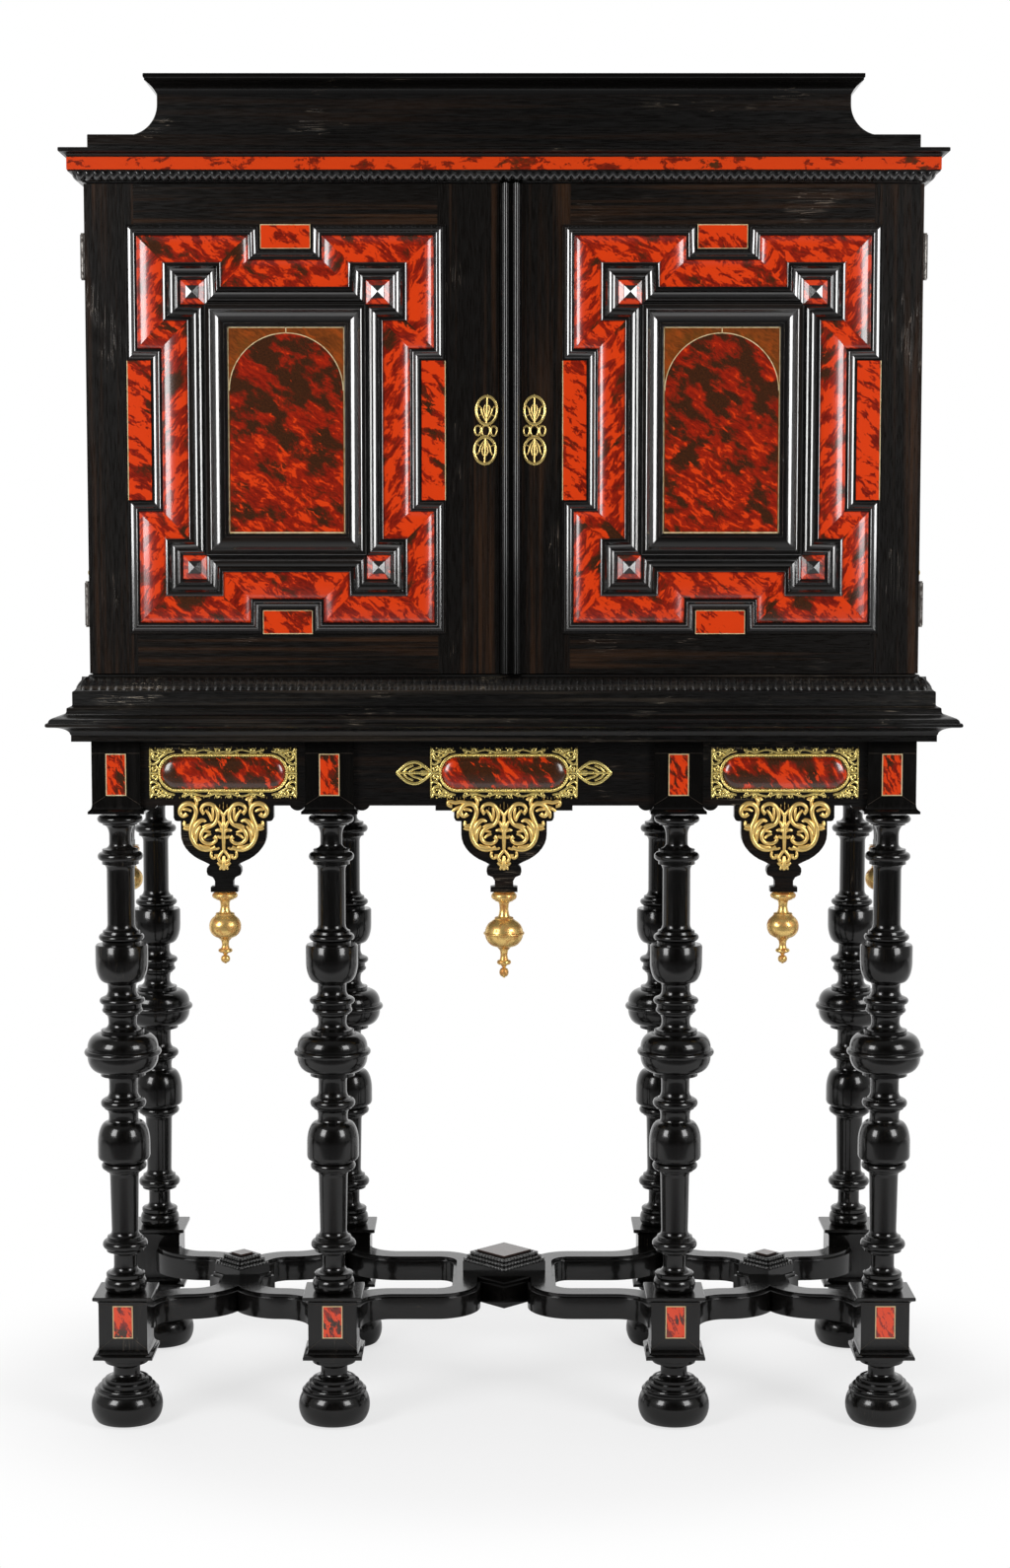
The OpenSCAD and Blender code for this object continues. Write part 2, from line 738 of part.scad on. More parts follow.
module carcase_bottom() {
    color(inner_wood) difference() {
        case_board(-inner_half, inner_half, case_z, case_z + board_t);
        slide_socket(case_z + board_t, -1);
    }
}

module back_panel() {
    color(inner_wood) translate([-inner_half, back_y - back_t, case_z + board_t])
        cube([2 * inner_half, back_t, case_h - 2 * board_t]);
}

// Cornice: rippled chamfer, tortoiseshell band, thin lip and plain step
band_z = cornice_z + 15;
band_out = 20;
step_in = 5;
cornice_edge = concat(
    [[1, cornice_z], [3, cornice_z + 2], [9, cornice_z + 6], [15, cornice_z + 12],
        [band_out - 1, cornice_z + 13], [band_out - 1, band_z],
        [band_out - band_t, band_z], [band_out - band_t, band_z + band_h],
        [band_out - 1, band_z + band_h]],
    turn_out(band_z + band_h + 1, band_out, cornice_z + cornice_h - 6, cornice_out - 1),
    [[cornice_out, cornice_z + cornice_h - 5], [cornice_out, cornice_z + cornice_h - 1],
        [cornice_out - 2, cornice_z + cornice_h], [-step_in, cornice_z + cornice_h],
        [-step_in, cresting_z - 1], [-step_in - 1, cresting_z]]);
module cornice() {
    color(ebony) moulded_slab(cornice_edge);
}

module cornice_band() {
    z0 = band_z + mitre_gap;
    z1 = band_z + band_h - mitre_gap;
    color(shell) difference() {
        moulded_slab([[band_out, z0], [band_out, z1]]);
        moulded_slab([[band_out - band_t, z0 - 1], [band_out - band_t, z1 + 1]], 1);
    }
}

// Cresting: a shallow box with hollow ends under a flared top moulding
cresting_lip = 17;
cresting_set = 14;
cresting_neck = 26;
cresting_rim = [[0, 0], [2, 4], [6, 10], [11, 15], [15, 19], [cresting_lip, 22],
    [cresting_lip, cresting_neck]];
module cresting_shape() {
    rim_z = cresting_z + cresting_h - cresting_neck;
    side = concat(
        [for (a = [-90 : 15 : 0])
            [cresting_half + cresting_hollow * (1 - cos(a)),
                cresting_z + cresting_hollow * (1 + sin(a))]],
        [for (p = cresting_rim) [cresting_half + p[0], rim_z + p[1]]]);
    front = front_y + cresting_set;
    intersection() {
        rotate([90, 0, 0]) translate([0, 0, -far / 2]) linear_extrude(far)
            polygon(concat(side, mirrored(side)));
        rotate([90, 0, 90]) translate([0, 0, -far / 2]) linear_extrude(far)
            polygon(concat([[front, cresting_z]],
                [for (p = cresting_rim) [front - p[0], rim_z + p[1]]],
                [[back_y, cresting_z + cresting_h], [back_y, cresting_z]]));
    }
}

module cresting() {
    color(ebony) difference() {
        cresting_shape();
        translate([-cresting_half + cresting_t, front_y + cresting_set + cresting_t,
                cresting_z - 1])
            cube([2 * (cresting_half - cresting_t), body_d - cresting_set - 2 * cresting_t,
                cresting_h - cresting_t + 1]);
    }
}

// Doors
door_z = case_z + door_end_gap;
door_h = case_h - 2 * door_end_gap;
door_face = front_y;
meeting_x = -meeting_off;
panel_z = case_z + case_h / 2;
mould_w = reed_w + shell_w + edge_w;
module door_slab(x0, x1) {
    translate([x0, door_face, door_z]) cube([x1 - x0, door_t, door_h]);
}

module door_left() {
    color(ebony) door_slab(-case_half, meeting_x - meeting_gap / 2);
}

escutcheon_x = 42;
escutcheon_left_x = -25;
escutcheon_z = panel_z;
module door_right() {
    color(ebony) difference() {
        door_slab(meeting_x + meeting_gap / 2, case_half);
        keyhole(door_face - 1, door_t + 2);
    }
}

module keyhole(y, t) {
    translate([escutcheon_x, y, escutcheon_z]) rotate([-90, 0, 0])
        cylinder(r = keyhole_r, h = t, $fn = 32);
    translate([escutcheon_x - 1.5, y, escutcheon_z - 11]) cube([3, t, 11]);
}

// Moulding sections across their width, as [distance from the centre, height]
reed_section = [[0, 0], [0, 11], [1, 12], [3, 12], [4, 13.5], [6, 14.5], [8, 13.5], [9, 14],
    [12, 15], [15, 17.5], [17, 20], [18, 21], [reed_w - 1, 21], [reed_w, 20], [reed_w, 0]];
shell_top = 18;
shell_edge = 9;
shell_section = concat([[reed_w, 0], [reed_w, shell_top - 1]],
    [for (a = [90 : -15 : 0]) [reed_w + 7 + (shell_w - 7) * cos(a),
        shell_edge + (shell_top - shell_edge) * sin(a)]],
    [[reed_w + shell_w, 0]]);
edge_section = [for (p = [[0, 0], [0, 9], [1, 10], [3, 10.5], [5, 10], [6, 8], [9, 5.5],
    [12, 4.5], [12.5, 3], [edge_w, 3], [edge_w, 0]]) [reed_w + shell_w + p[0], p[1]]];

// One mitred length along +X with its inner edge on the X axis
module mitred_length(l, m0, m1, section) {
    reach = mould_w + 1;
    intersection() {
        translate([-reach, 0, 0]) rotate([90, 0, 90]) linear_extrude(l + 2 * reach)
            polygon(section);
        linear_extrude(40) polygon([[mitre_gap, 0], [l - mitre_gap, 0],
            [l - mitre_gap + m1 * reach, reach], [mitre_gap - m0 * reach, reach]]);
    }
}

// Four lengths round a rectangle; a corner's value is 1 where its mitre opens
// outwards and -1 where it closes, clockwise from the top left
module mitred_frame(w, h, corners, section) {
    for (k = [0 : 3]) {
        l = k % 2 == 0 ? w : h;
        out = k % 2 == 0 ? h : w;
        rotate(-90 * k) translate([-l / 2, out / 2, 0])
            mitred_length(l, corners[k], corners[(k + 1) % 4], section);
    }
}

boss_dx = (centre_w + boss_w) / 2;
boss_dz = (centre_h + boss_w) / 2;
// The corner of a boss that touches the centre rectangle is the one that closes
boss_places = [[-1, 1, [1, 1, -1, 1]], [1, 1, [1, 1, 1, -1]],
    [1, -1, [-1, 1, 1, 1]], [-1, -1, [1, -1, 1, 1]]];
module door_moulding(section) {
    mitred_frame(centre_w, centre_h, [-1, -1, -1, -1], section);
    for (b = boss_places) translate([b[0] * boss_dx, b[1] * boss_dz, 0])
        mitred_frame(boss_w, boss_w, b[2], section);
}

module on_door(side) {
    translate([side * panel_x, door_face, panel_z]) rotate([90, 0, 0]) children();
}

// Hollow frame that leads down from the inner moulding to the central panel
frame_section = [[0, 0], [0, 5], [3, 6], [5, 6], [8, 6.5], [14, 8.5], [20, 12.5], [24, 17],
    [25, 18], [frame_w - 0.5, 18], [frame_w - 0.5, 0]];
module mouldings(side) {
    color(ebony) on_door(side) {
        door_moulding(reed_section);
        door_moulding(edge_section);
        mitred_frame(centre_w - 2 * frame_w, centre_h - 2 * frame_w, [1, 1, 1, 1],
            frame_section);
    }
}

module mouldings_left() {
    mouldings(-1);
}

module mouldings_right() {
    mouldings(1);
}

module boss_pyramid() {
    half = boss_w / 2 - mitre_gap;
    rise = [[-half, 0], [-half, 13], [-half + 4, 14], [0, 21], [half - 4, 14], [half, 13],
        [half, 0]];
    intersection() {
        rotate([90, 0, 0]) translate([0, 0, -half]) linear_extrude(2 * half) polygon(rise);
        rotate([90, 0, 90]) translate([0, 0, -half]) linear_extrude(2 * half) polygon(rise);
    }
}

// Flat panels fill what the mouldings leave of the panel's rectangle
module outline_square(w, h, grow) {
    square([w + 2 * grow, h + 2 * grow], center = true);
}

module notch_panels() {
    full_w = 2 * boss_dx + boss_w;
    full_h = 2 * boss_dz + boss_w;
    linear_extrude(panel_t) difference() {
        outline_square(full_w, full_h, mould_w);
        outline_square(centre_w, centre_h, mould_w + mitre_gap);
        for (b = boss_places) translate([b[0] * boss_dx, b[1] * boss_dz])
            outline_square(boss_w, boss_w, mould_w + mitre_gap);
    }
}

central_w = centre_w - 2 * frame_w;
central_h = centre_h - 2 * frame_w;
module tortoiseshell(side) {
    color(shell) on_door(side) {
        door_moulding(shell_section);
        notch_panels();
        linear_extrude(panel_t) outline_square(central_w, central_h, -mitre_gap);
        for (b = boss_places) translate([b[0] * boss_dx, b[1] * boss_dz, 0]) boss_pyramid();
    }
}

module tortoiseshell_left() {
    tortoiseshell(-1);
}

module tortoiseshell_right() {
    tortoiseshell(1);
}

// Cover strip on the right door, two reeds between fillets
strip_section = [[0, 0], [0, 5], [3, 6], [4, 8.5], [7.5, strip_t], [11, 8.5], [12, 6],
    [strip_w - 12, 6], [strip_w - 11, 8.5], [strip_w - 7.5, strip_t],
    [strip_w - 4, 8.5], [strip_w - 3, 6], [strip_w, 5], [strip_w, 0]];
module cover_strip() {
    color(ebony) translate([meeting_x + meeting_gap / 2, door_face, door_z])
        linear_extrude(door_h) mirror([0, 1]) polygon(strip_section);
}

// Pierced escutcheons: two ovals joined by a middle piece with side loops
module escutcheon_plan() {
    loop_z = escutcheon_h / 2 - 17;
    difference() {
        union() {
            for (s = [-1, 1]) {
                translate([0, s * loop_z]) circle(r = 17, $fn = 40);
                translate([0, s * (escutcheon_h / 2 - 3)]) circle(r = 4, $fn = 24);
                translate([s * 12, 0]) circle(r = 6, $fn = 24);
            }
            square([22, 22], center = true);
            square([10, 2 * loop_z - 32], center = true);
        }
        for (s = [-1, 1]) {
            for (t = [-1, 1]) {
                translate([t * 7.5, s * loop_z]) circle(r = 4.5, $fn = 24);
                translate([0, s * loop_z + t * 10]) circle(r = 3.2, $fn = 24);
            }
            translate([s * 12, 0]) circle(r = 2.5, $fn = 20);
        }
        circle(r = keyhole_r, $fn = 32);
        translate([-1.5, -11]) square([3, 11]);
    }
}

escutcheon_t = 2;
module escutcheon(x) {
    color(gilt) translate([x, door_face, escutcheon_z]) rotate([90, 0, 0])
        linear_extrude(escutcheon_t) escutcheon_plan();
}

module escutcheon_left() {
    escutcheon(escutcheon_left_x);
}

module escutcheon_right() {
    escutcheon(escutcheon_x);
}

// Butt hinges on the outer edges, pivots at the joint between door and case
hinge_axis_out = 5;
hinge_x = case_half + hinge_axis_out;
hinge_y = case_front - door_back_gap / 2;
hinge_zs = [door_z + hinge_end, door_z + door_h - hinge_end];
knuckle_gap = 0.3;
knuckle_l = hinge_l / 3;
leaf_set = 6;
door_leaf_w = leaf_w - 4;
// The case leaves carry the outer two knuckles, the door leaves the middle one
module case_leaves(side) {
    mirror([side < 0 ? 1 : 0, 0, 0]) for (z = hinge_zs) {
        knuckle_arm(z - hinge_l / 2, 1);
        knuckle_arm(z + hinge_l / 2 - knuckle_l, 1);
        translate([case_half, hinge_y + leaf_set, z - hinge_l / 2])
            cube([leaf_t, leaf_w, hinge_l]);
    }
}

module door_leaves(side) {
    mirror([side < 0 ? 1 : 0, 0, 0]) for (z = hinge_zs) {
        knuckle_arm(z - knuckle_l / 2, -1);
        translate([case_half, hinge_y - leaf_set - door_leaf_w, z - hinge_l / 2])
            cube([leaf_t, door_leaf_w, hinge_l]);
    }
}

// A knuckle with the strap that joins it to its leaf, behind (1) or before (-1) the pivot
module knuckle_arm(z, dir) {
    l = knuckle_l - knuckle_gap;
    translate([hinge_x, hinge_y, z + knuckle_gap / 2]) difference() {
        union() {
            cylinder(r = knuckle_r, h = l, $fn = 40);
            translate([-hinge_axis_out + 0.4, dir > 0 ? 1 : -leaf_set - 1, 0])
                cube([leaf_t, leaf_set, l]);
        }
        translate([0, 0, -1]) cylinder(r = pin_r + pin_clear, h = l + 2, $fn = 32);
    }
}

module hinge_leaves_case() {
    color(steel) {
        case_leaves(-1);
        case_leaves(1);
    }
}

module hinge_leaves_left() {
    color(steel) door_leaves(-1);
}

module hinge_leaves_right() {
    color(steel) door_leaves(1);
}

module hinge_pins() {
    color(steel) for (side = [-1, 1], z = hinge_zs) translate([side * hinge_x, hinge_y, 0]) {
        translate([0, 0, z - hinge_l / 2 - 1]) cylinder(r = pin_r, h = hinge_l + 2, $fn = 32);
        for (end = [-1, 1]) translate([0, 0, z + end * (hinge_l / 2 + 1) - 1])
            cylinder(r = knuckle_r - 1, h = 2, $fn = 32);
    }
}

// Box lock on the back of the right door; its bolt is drawn back at rest and,
// when thrown, passes behind the edge of the left door
door_back = door_face + door_t;
lock_z = escutcheon_z;
lock_w = 70;
lock_h = 60;
lock_t = 14;
lock_plate = 2;
bolt_h = 16;
bolt_t = 6;
bolt_l = 50;
lock_x = meeting_x + meeting_gap / 2 + 1;
bolt_y = door_back + lock_plate + bolt_clear;
module lock_case() {
    color(steel) difference() {
        translate([lock_x, door_back, lock_z - lock_h / 2]) cube([lock_w, lock_t, lock_h]);
        translate([lock_x - 1, bolt_y - bolt_clear, lock_z - bolt_h / 2 - bolt_clear])
            cube([bolt_l + 1 + bolt_clear, bolt_t + 2 * bolt_clear, bolt_h + 2 * bolt_clear]);
        keyhole(door_back - 1, lock_t - 2);
    }
}

module lock_bolt() {
    color(steel) difference() {
        translate([lock_x, bolt_y, lock_z - bolt_h / 2]) cube([bolt_l, bolt_t, bolt_h]);
        // Notch that the key's bit works in
        translate([escutcheon_x - 7, bolt_y - 1, lock_z - bolt_h / 2 - 1])
            cube([14, bolt_t + 2, bolt_h * 0.75 + 1]);
    }
}

// Slide bolts on the back of the left door, shot into the top and bottom boards
slide_w = 10;
slide_t = 6;
slide_l = 90;
slide_x = meeting_x - 26;
slide_y = door_back + lock_plate + bolt_clear;
slide_rest = 1.5;
strap_h = 8;
strap_w = 24;
slide_plate_l = 84;
// Inner faces of the two boards, with the way that each bolt moves
slide_ends = [[cornice_z - board_t, 1], [case_z + board_t, -1]];
module slide_socket(z, dir) {
    translate([slide_x - slide_w / 2 - bolt_clear, slide_y - bolt_clear,
            dir > 0 ? z - 1 : z - slide_travel])
        cube([slide_w + 2 * bolt_clear, slide_t + 2 * bolt_clear, slide_travel + 1]);
}

module slide_bolt(end) {
    z = end[0];
    dir = end[1];
    tip = z - dir * slide_rest;
    color(steel) translate([slide_x, slide_y, 0]) {
        translate([-slide_w / 2, 0, min(tip, tip - dir * slide_l)])
            cube([slide_w, slide_t, slide_l]);
        // Thumb knob between the straps
        translate([0, slide_t - eps, tip - dir * slide_l / 2]) rotate([-90, 0, 0])
            cylinder(r = 4, h = 5, $fn = 32);
    }
}

module slide_bolt_top() {
    slide_bolt(slide_ends[0]);
}

module slide_bolt_bottom() {
    slide_bolt(slide_ends[1]);
}

module slide_strap(z) {
    strap_t = lock_plate + bolt_clear + slide_t + bolt_clear + 1.5;
    difference() {
        translate([slide_x - strap_w / 2, door_back, z - strap_h / 2])
            cube([strap_w, strap_t, strap_h]);
        translate([slide_x - slide_w / 2 - bolt_clear, slide_y - bolt_clear, z - strap_h])
            cube([slide_w + 2 * bolt_clear, slide_t + 2 * bolt_clear, 2 * strap_h]);
    }
}

module slide_bolt_guides() {
    color(steel) for (end = slide_ends) {
        middle = end[0] - end[1] * (slide_rest + slide_l / 2);
        for (s = [-1, 1])
            slide_strap(middle + s * (slide_plate_l - strap_h) / 2);
        translate([slide_x - strap_w / 2, door_back, middle - slide_plate_l / 2])
            cube([strap_w, lock_plate, slide_plate_l]);
    }
}

// Carrying handles low on the case sides: plate with two posts, and a bail
handle_level = case_z + handle_z;
post_w = 10;
handle_pin_r = 3;
plate_t = 2;
bail_bend = 14;
module handle_side(side) {
    mirror([side < 0 ? 1 : 0, 0, 0])
        translate([case_half, stand_mid, handle_level]) children();
}

module handle_plate() {
    post_y = handle_w / 2 - handle_r - pin_clear - post_w / 2;
    rotate([90, 0, 90]) linear_extrude(plate_t) {
        square([2 * post_y, 12], center = true);
        for (s = [-1, 1]) {
            translate([s * post_y, 0]) circle(r = 14, $fn = 48);
            translate([s * (post_y + 14), 0]) circle(r = 5, $fn = 32);
        }
    }
    for (s = [-1, 1]) translate([0, s * post_y, 0]) rotate([90, 0, 0]) difference() {
        translate([0, 0, -post_w / 2]) linear_extrude(post_w) {
            translate([plate_t, -6]) square([handle_out - plate_t, 12]);
            translate([handle_out, 0]) circle(r = 6, $fn = 40);
        }
        translate([handle_out, 0, -post_w])
            cylinder(r = handle_pin_r + pin_clear, h = 2 * post_w, $fn = 32);
    }
}

module handle_plates() {
    color(gilt) for (side = [-1, 1]) handle_side(side) handle_plate();
}

// The bail hangs from its own pins and lifts away from the case side
module bail() {
    half = handle_w / 2;
    translate([handle_out, 0, 0]) {
        for (s = [-1, 1]) mirror([0, s < 0 ? 1 : 0, 0]) {
            translate([0, half - handle_r - post_w, 0]) rotate([-90, 0, 0])
                cylinder(r = handle_pin_r, h = post_w + handle_r, $fn = 32);
            translate([0, half, -handle_drop + bail_bend])
                cylinder(r = handle_r, h = handle_drop - bail_bend, $fn = 32);
            translate([0, half, 0]) sphere(r = handle_r, $fn = 32);
            translate([0, half - bail_bend, -handle_drop + bail_bend])
                rotate([0, 90, 0]) rotate_extrude(angle = 90, $fn = 48)
                    translate([bail_bend, 0]) circle(r = handle_r, $fn = 32);
        }
        translate([0, -half + bail_bend, -handle_drop]) rotate([-90, 0, 0])
            cylinder(r = handle_r, h = 2 * (half - bail_bend), $fn = 32);
    }
}

module handle_left() {
    color(gilt) handle_side(-1) bail();
}

module handle_right() {
    color(gilt) handle_side(1) bail();
}

// Fitted inside: two partitions, shelves, nests of drawers and a middle cupboard
fit_gap = 0.2;
inside_y = case_front + inside_set;
inside_d = case_d - inside_set - back_t;
inside_z = case_z + board_t;
inside_h = case_h - 2 * board_t;
row_h = (inside_h - (drawer_rows - 1) * shelf_t) / drawer_rows;
bay_w = inner_half - cupboard_w / 2 - partition_t;
bay_mid = inner_half - bay_w / 2;
function row_z(row) = inside_z + row * (row_h + shelf_t);

module shelf(x, w, row) {
    translate([x - w / 2 + fit_gap, inside_y, row_z(row) - shelf_t])
        cube([w - 2 * fit_gap, inside_d, shelf_t]);
}

module partitions() {
    color(inner_wood) {
        for (side = [-1, 1]) {
            translate([side * (cupboard_w + partition_t) / 2 - partition_t / 2, inside_y,
                    inside_z])
                cube([partition_t, inside_d, inside_h]);
            for (row = [1 : drawer_rows - 1]) shelf(side * bay_mid, bay_w, row);
        }
        shelf(0, cupboard_w, 1);
        shelf(0, cupboard_w, drawer_rows - 1);
    }
}

drawer_bottom = 6;
knob_r = 7;
module knob(x, y, z) {
    translate([x, y, z]) rotate([90, 0, 0]) turned([[3, -eps], [3, 3], [5, 5], [knob_r, 8],
        [knob_r - 1, 10], [3, 12]]);
}

// A drawer with its knobs, standing on its runner
module drawer(x, w, row, knobs) {
    z = row_z(row) + drawer_gap / 2;
    dw = w - 2 * drawer_gap;
    dh = row_h - drawer_gap;
    dd = inside_d - drawer_gap;
    difference() {
        translate([x - dw / 2, inside_y, z]) cube([dw, dd, dh]);
        translate([x - dw / 2 + drawer_wall, inside_y + drawer_front, z + drawer_bottom])
            cube([dw - 2 * drawer_wall, dd - drawer_front - drawer_wall, dh]);
    }
    for (k = knobs) knob(x + k, inside_y, z + dh / 2);
}

module drawers_left() {
    color(ebony) for (row = [0 : drawer_rows - 1]) drawer(-bay_mid, bay_w, row, [0]);
}

module drawers_right() {
    color(ebony) for (row = [0 : drawer_rows - 1]) drawer(bay_mid, bay_w, row, [0]);
}

knob_spread = cupboard_w / 4;
module drawers_centre() {
    color(ebony) for (row = [0, drawer_rows - 1])
        drawer(0, cupboard_w, row, [-knob_spread, knob_spread]);
}

// Door of the middle cupboard, a frame round a sunk panel with an arched head
module cupboard_door() {
    z0 = row_z(1) + drawer_gap / 2;
    z1 = row_z(drawer_rows - 1) - shelf_t - drawer_gap / 2;
    half = cupboard_w / 2 - drawer_gap;
    rail = 60;
    arch_r = half - rail;
    color(ebony) {
        translate([0, inside_y, 0]) difference() {
            translate([-half, 0, z0]) cube([2 * half, drawer_front, z1 - z0]);
            translate([0, 0, z1 - rail - arch_r]) rotate([90, 0, 0]) {
                translate([0, 0, -6]) cylinder(r = arch_r, h = 7, $fn = 96);
                translate([-arch_r, z0 + rail - (z1 - rail - arch_r), -6])
                    cube([2 * arch_r, z1 - z0 - 2 * rail - arch_r, 7]);
            }
        }
        knob(half - rail / 2, inside_y, (z0 + z1) / 2);
    }
}

stand_top();
frieze_front();
frieze_back();
side_frieze(-1);  // frieze_left
side_frieze(1);  // frieze_right
leg(0);  // leg_1
leg(1);  // leg_2
leg(2);  // leg_3
leg(3);  // leg_4
leg(4);  // leg_5
leg(5);  // leg_6
leg(6);  // leg_7
leg(7);  // leg_8
feet();
stretcher_quarter(-1, -1);  // stretcher_front_left
stretcher_quarter(1, -1);  // stretcher_front_right
stretcher_quarter(-1, 1);  // stretcher_rear_left
stretcher_quarter(1, 1);  // stretcher_rear_right
stretcher_bosses();
boss_panels();
block_inlays();
cabochons();
cabochon_frames();
apron_mounts();
pendants();
cabinet_plinth();
side_left();
side_right();
carcase_top();
carcase_bottom();
back_panel();
cornice();
cornice_band();
cresting();
door_left();
door_right();
mouldings_left();
mouldings_right();
tortoiseshell_left();
tortoiseshell_right();
cover_strip();
escutcheon_left();
escutcheon_right();
hinge_leaves_case();
hinge_leaves_left();
hinge_leaves_right();
hinge_pins();
lock_case();
lock_bolt();
slide_bolt_top();
slide_bolt_bottom();
slide_bolt_guides();
handle_plates();
handle_left();
handle_right();
partitions();
drawers_left();
drawers_right();
drawers_centre();
cupboard_door();
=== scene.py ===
# Cabinet on stand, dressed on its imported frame. Metres, +Z up, doors facing -Y.
import random
from math import atan2, copysign, cos, hypot, pi, radians, sin, sqrt

import bmesh
import bpy
from mathutils import Matrix, Vector


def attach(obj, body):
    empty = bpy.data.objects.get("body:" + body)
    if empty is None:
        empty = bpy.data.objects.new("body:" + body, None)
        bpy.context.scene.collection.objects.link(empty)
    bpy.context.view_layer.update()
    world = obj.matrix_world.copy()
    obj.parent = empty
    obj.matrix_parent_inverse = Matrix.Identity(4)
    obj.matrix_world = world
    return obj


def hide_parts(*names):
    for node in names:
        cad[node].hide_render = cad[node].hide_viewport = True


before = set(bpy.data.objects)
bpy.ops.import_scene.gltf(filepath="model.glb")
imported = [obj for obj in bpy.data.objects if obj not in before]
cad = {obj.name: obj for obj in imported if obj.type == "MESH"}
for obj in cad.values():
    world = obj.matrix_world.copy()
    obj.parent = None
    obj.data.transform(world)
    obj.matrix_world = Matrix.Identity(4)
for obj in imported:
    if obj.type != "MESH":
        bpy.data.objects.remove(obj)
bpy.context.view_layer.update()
mm = 0.001

# Camera
# A long lens at chest height, looking down a little, straight on to the doors.
camera_place = (0.0014, -3.9206, 1.25)
camera_tilt = radians(84.97)
camera_data = bpy.data.cameras.new("camera")
camera_data.sensor_width = 36
camera_data.lens = 61.27
camera = bpy.data.objects.new("camera", camera_data)
camera.location = camera_place
camera.rotation_euler = (camera_tilt, 0, 0)
bpy.context.scene.collection.objects.link(camera)
bpy.context.scene.camera = camera
bpy.context.scene.view_settings.view_transform = "Standard"

# Studio
# Pale floor that fades to the white backdrop, two tall soft boxes and a ceiling
# panel. The room behind the camera is dim, so that black surfaces stay black.
floor_half = 14
pure_white = (1, 1, 1, 1)


def add(tree, kind, inputs=None, **settings):
    """A shader node; an input is a value or the output that it takes"""
    made = tree.nodes.new("ShaderNode" + kind)
    for key, value in settings.items():
        setattr(made, key, value)
    for key, value in (inputs or {}).items():
        if isinstance(value, bpy.types.NodeSocket):
            tree.links.new(value, made.inputs[key])
        else:
            made.inputs[key].default_value = value
    return made


def math_node(tree, operation, *values, kind="Math"):
    return add(tree, kind, dict(enumerate(values)), operation=operation).outputs[0]


def largest(tree, first, *others):
    for value in others:
        first = math_node(tree, "MAXIMUM", first, value)
    return first


def smooth_range(tree, value, low, high, to_low=0.0, to_high=1.0):
    ends = {"Value": value, "From Min": low, "From Max": high, "To Min": to_low, "To Max": to_high}
    return add(tree, "MapRange", ends, interpolation_type="SMOOTHSTEP").outputs["Result"]


def blend(tree, share, *colours):
    """Mixes two colours, each an output or (red, green, blue)"""
    first, second = [(*c, 1) if isinstance(c, tuple) else c for c in colours]
    inputs = {0: share, 6: first, 7: second}
    return add(tree, "Mix", inputs, data_type="RGBA").outputs[2]


def axes_of(tree, place):
    return add(tree, "SeparateXYZ", {0: place}).outputs


def object_place(tree):
    return add(tree, "TexCoord").outputs["Object"]


def seen_from(tree, place, low, high):
    """1 for the camera and, from low to high of a place, in reflections"""
    rays = add(tree, "LightPath").outputs
    mirrored = largest(tree, rays["Is Glossy Ray"], rays["Is Transmission Ray"])
    mirrored = math_node(tree, "MULTIPLY", mirrored, smooth_range(tree, place, low, high))
    return largest(tree, rays["Is Camera Ray"], mirrored)


def new_material(name):
    made = bpy.data.materials.new(name)
    made.use_nodes = True
    made.node_tree.nodes.clear()
    return made, made.node_tree


world = bpy.data.worlds.new("studio")
bpy.context.scene.world = world
world.use_nodes = True
tree = world.node_tree
tree.nodes.clear()
toward = axes_of(tree, add(tree, "TexCoord").outputs["Generated"])
sideways = math_node(tree, "ABSOLUTE", toward["X"])
side_light = smooth_range(tree, sideways, 0.4, 0.95, 0.02, 0.4)
back_light = smooth_range(tree, toward["Y"], 0.0, 0.6, 0.0, 0.7)
top_light = smooth_range(tree, toward["Z"], 0.45, 0.95, 0.0, 0.25)
room_light = largest(tree, side_light, back_light, top_light)
backdrop = seen_from(tree, toward["Y"], 0.25, 0.7)
strength = add(tree, "Mix", {0: backdrop, 2: room_light, 3: 1.0}).outputs[0]
background = add(tree, "Background", {"Color": pure_white, "Strength": strength})
add(tree, "OutputWorld", {"Surface": background.outputs[0]})

floor_mesh = bpy.data.meshes.new("floor")
bm = bmesh.new()
bmesh.ops.create_grid(bm, x_segments=1, y_segments=1, size=floor_half)
bm.to_mesh(floor_mesh)
bm.free()
floor = bpy.data.objects.new("floor", floor_mesh)
bpy.context.scene.collection.objects.link(floor)
floor_paint, tree = new_material("floor_paint")
at = object_place(tree)
squashed = math_node(tree, "MULTIPLY", at, (0.75, 1.0, 1.0), kind="VectorMath")
reach = add(tree, "VectorMath", {0: squashed}, operation="LENGTH")
faded = smooth_range(tree, reach.outputs["Value"], 0.38, 0.8)
floor_y = axes_of(tree, at)["Y"]
paler = smooth_range(tree, faded, 0.0, 1.0, 0.7, 1.0)
white_part = math_node(tree, "MULTIPLY", paler, seen_from(tree, floor_y, 0.4, 1.4))
# The floor is darker where it runs under the camera, out of the picture
near = smooth_range(tree, floor_y, -1.5, -1.0)
floor_colour = blend(tree, near, (0.16, 0.16, 0.165), (0.84, 0.84, 0.845))
matt = add(tree, "BsdfDiffuse", {"Color": floor_colour})
white = add(tree, "Emission", {"Color": pure_white, "Strength": 1.0})
shades = {0: white_part, 1: matt.outputs[0], 2: white.outputs[0]}
floor_mix = add(tree, "MixShader", shades)
add(tree, "OutputMaterial", {"Surface": floor_mix.outputs[0]})
floor_mesh.materials.append(floor_paint)


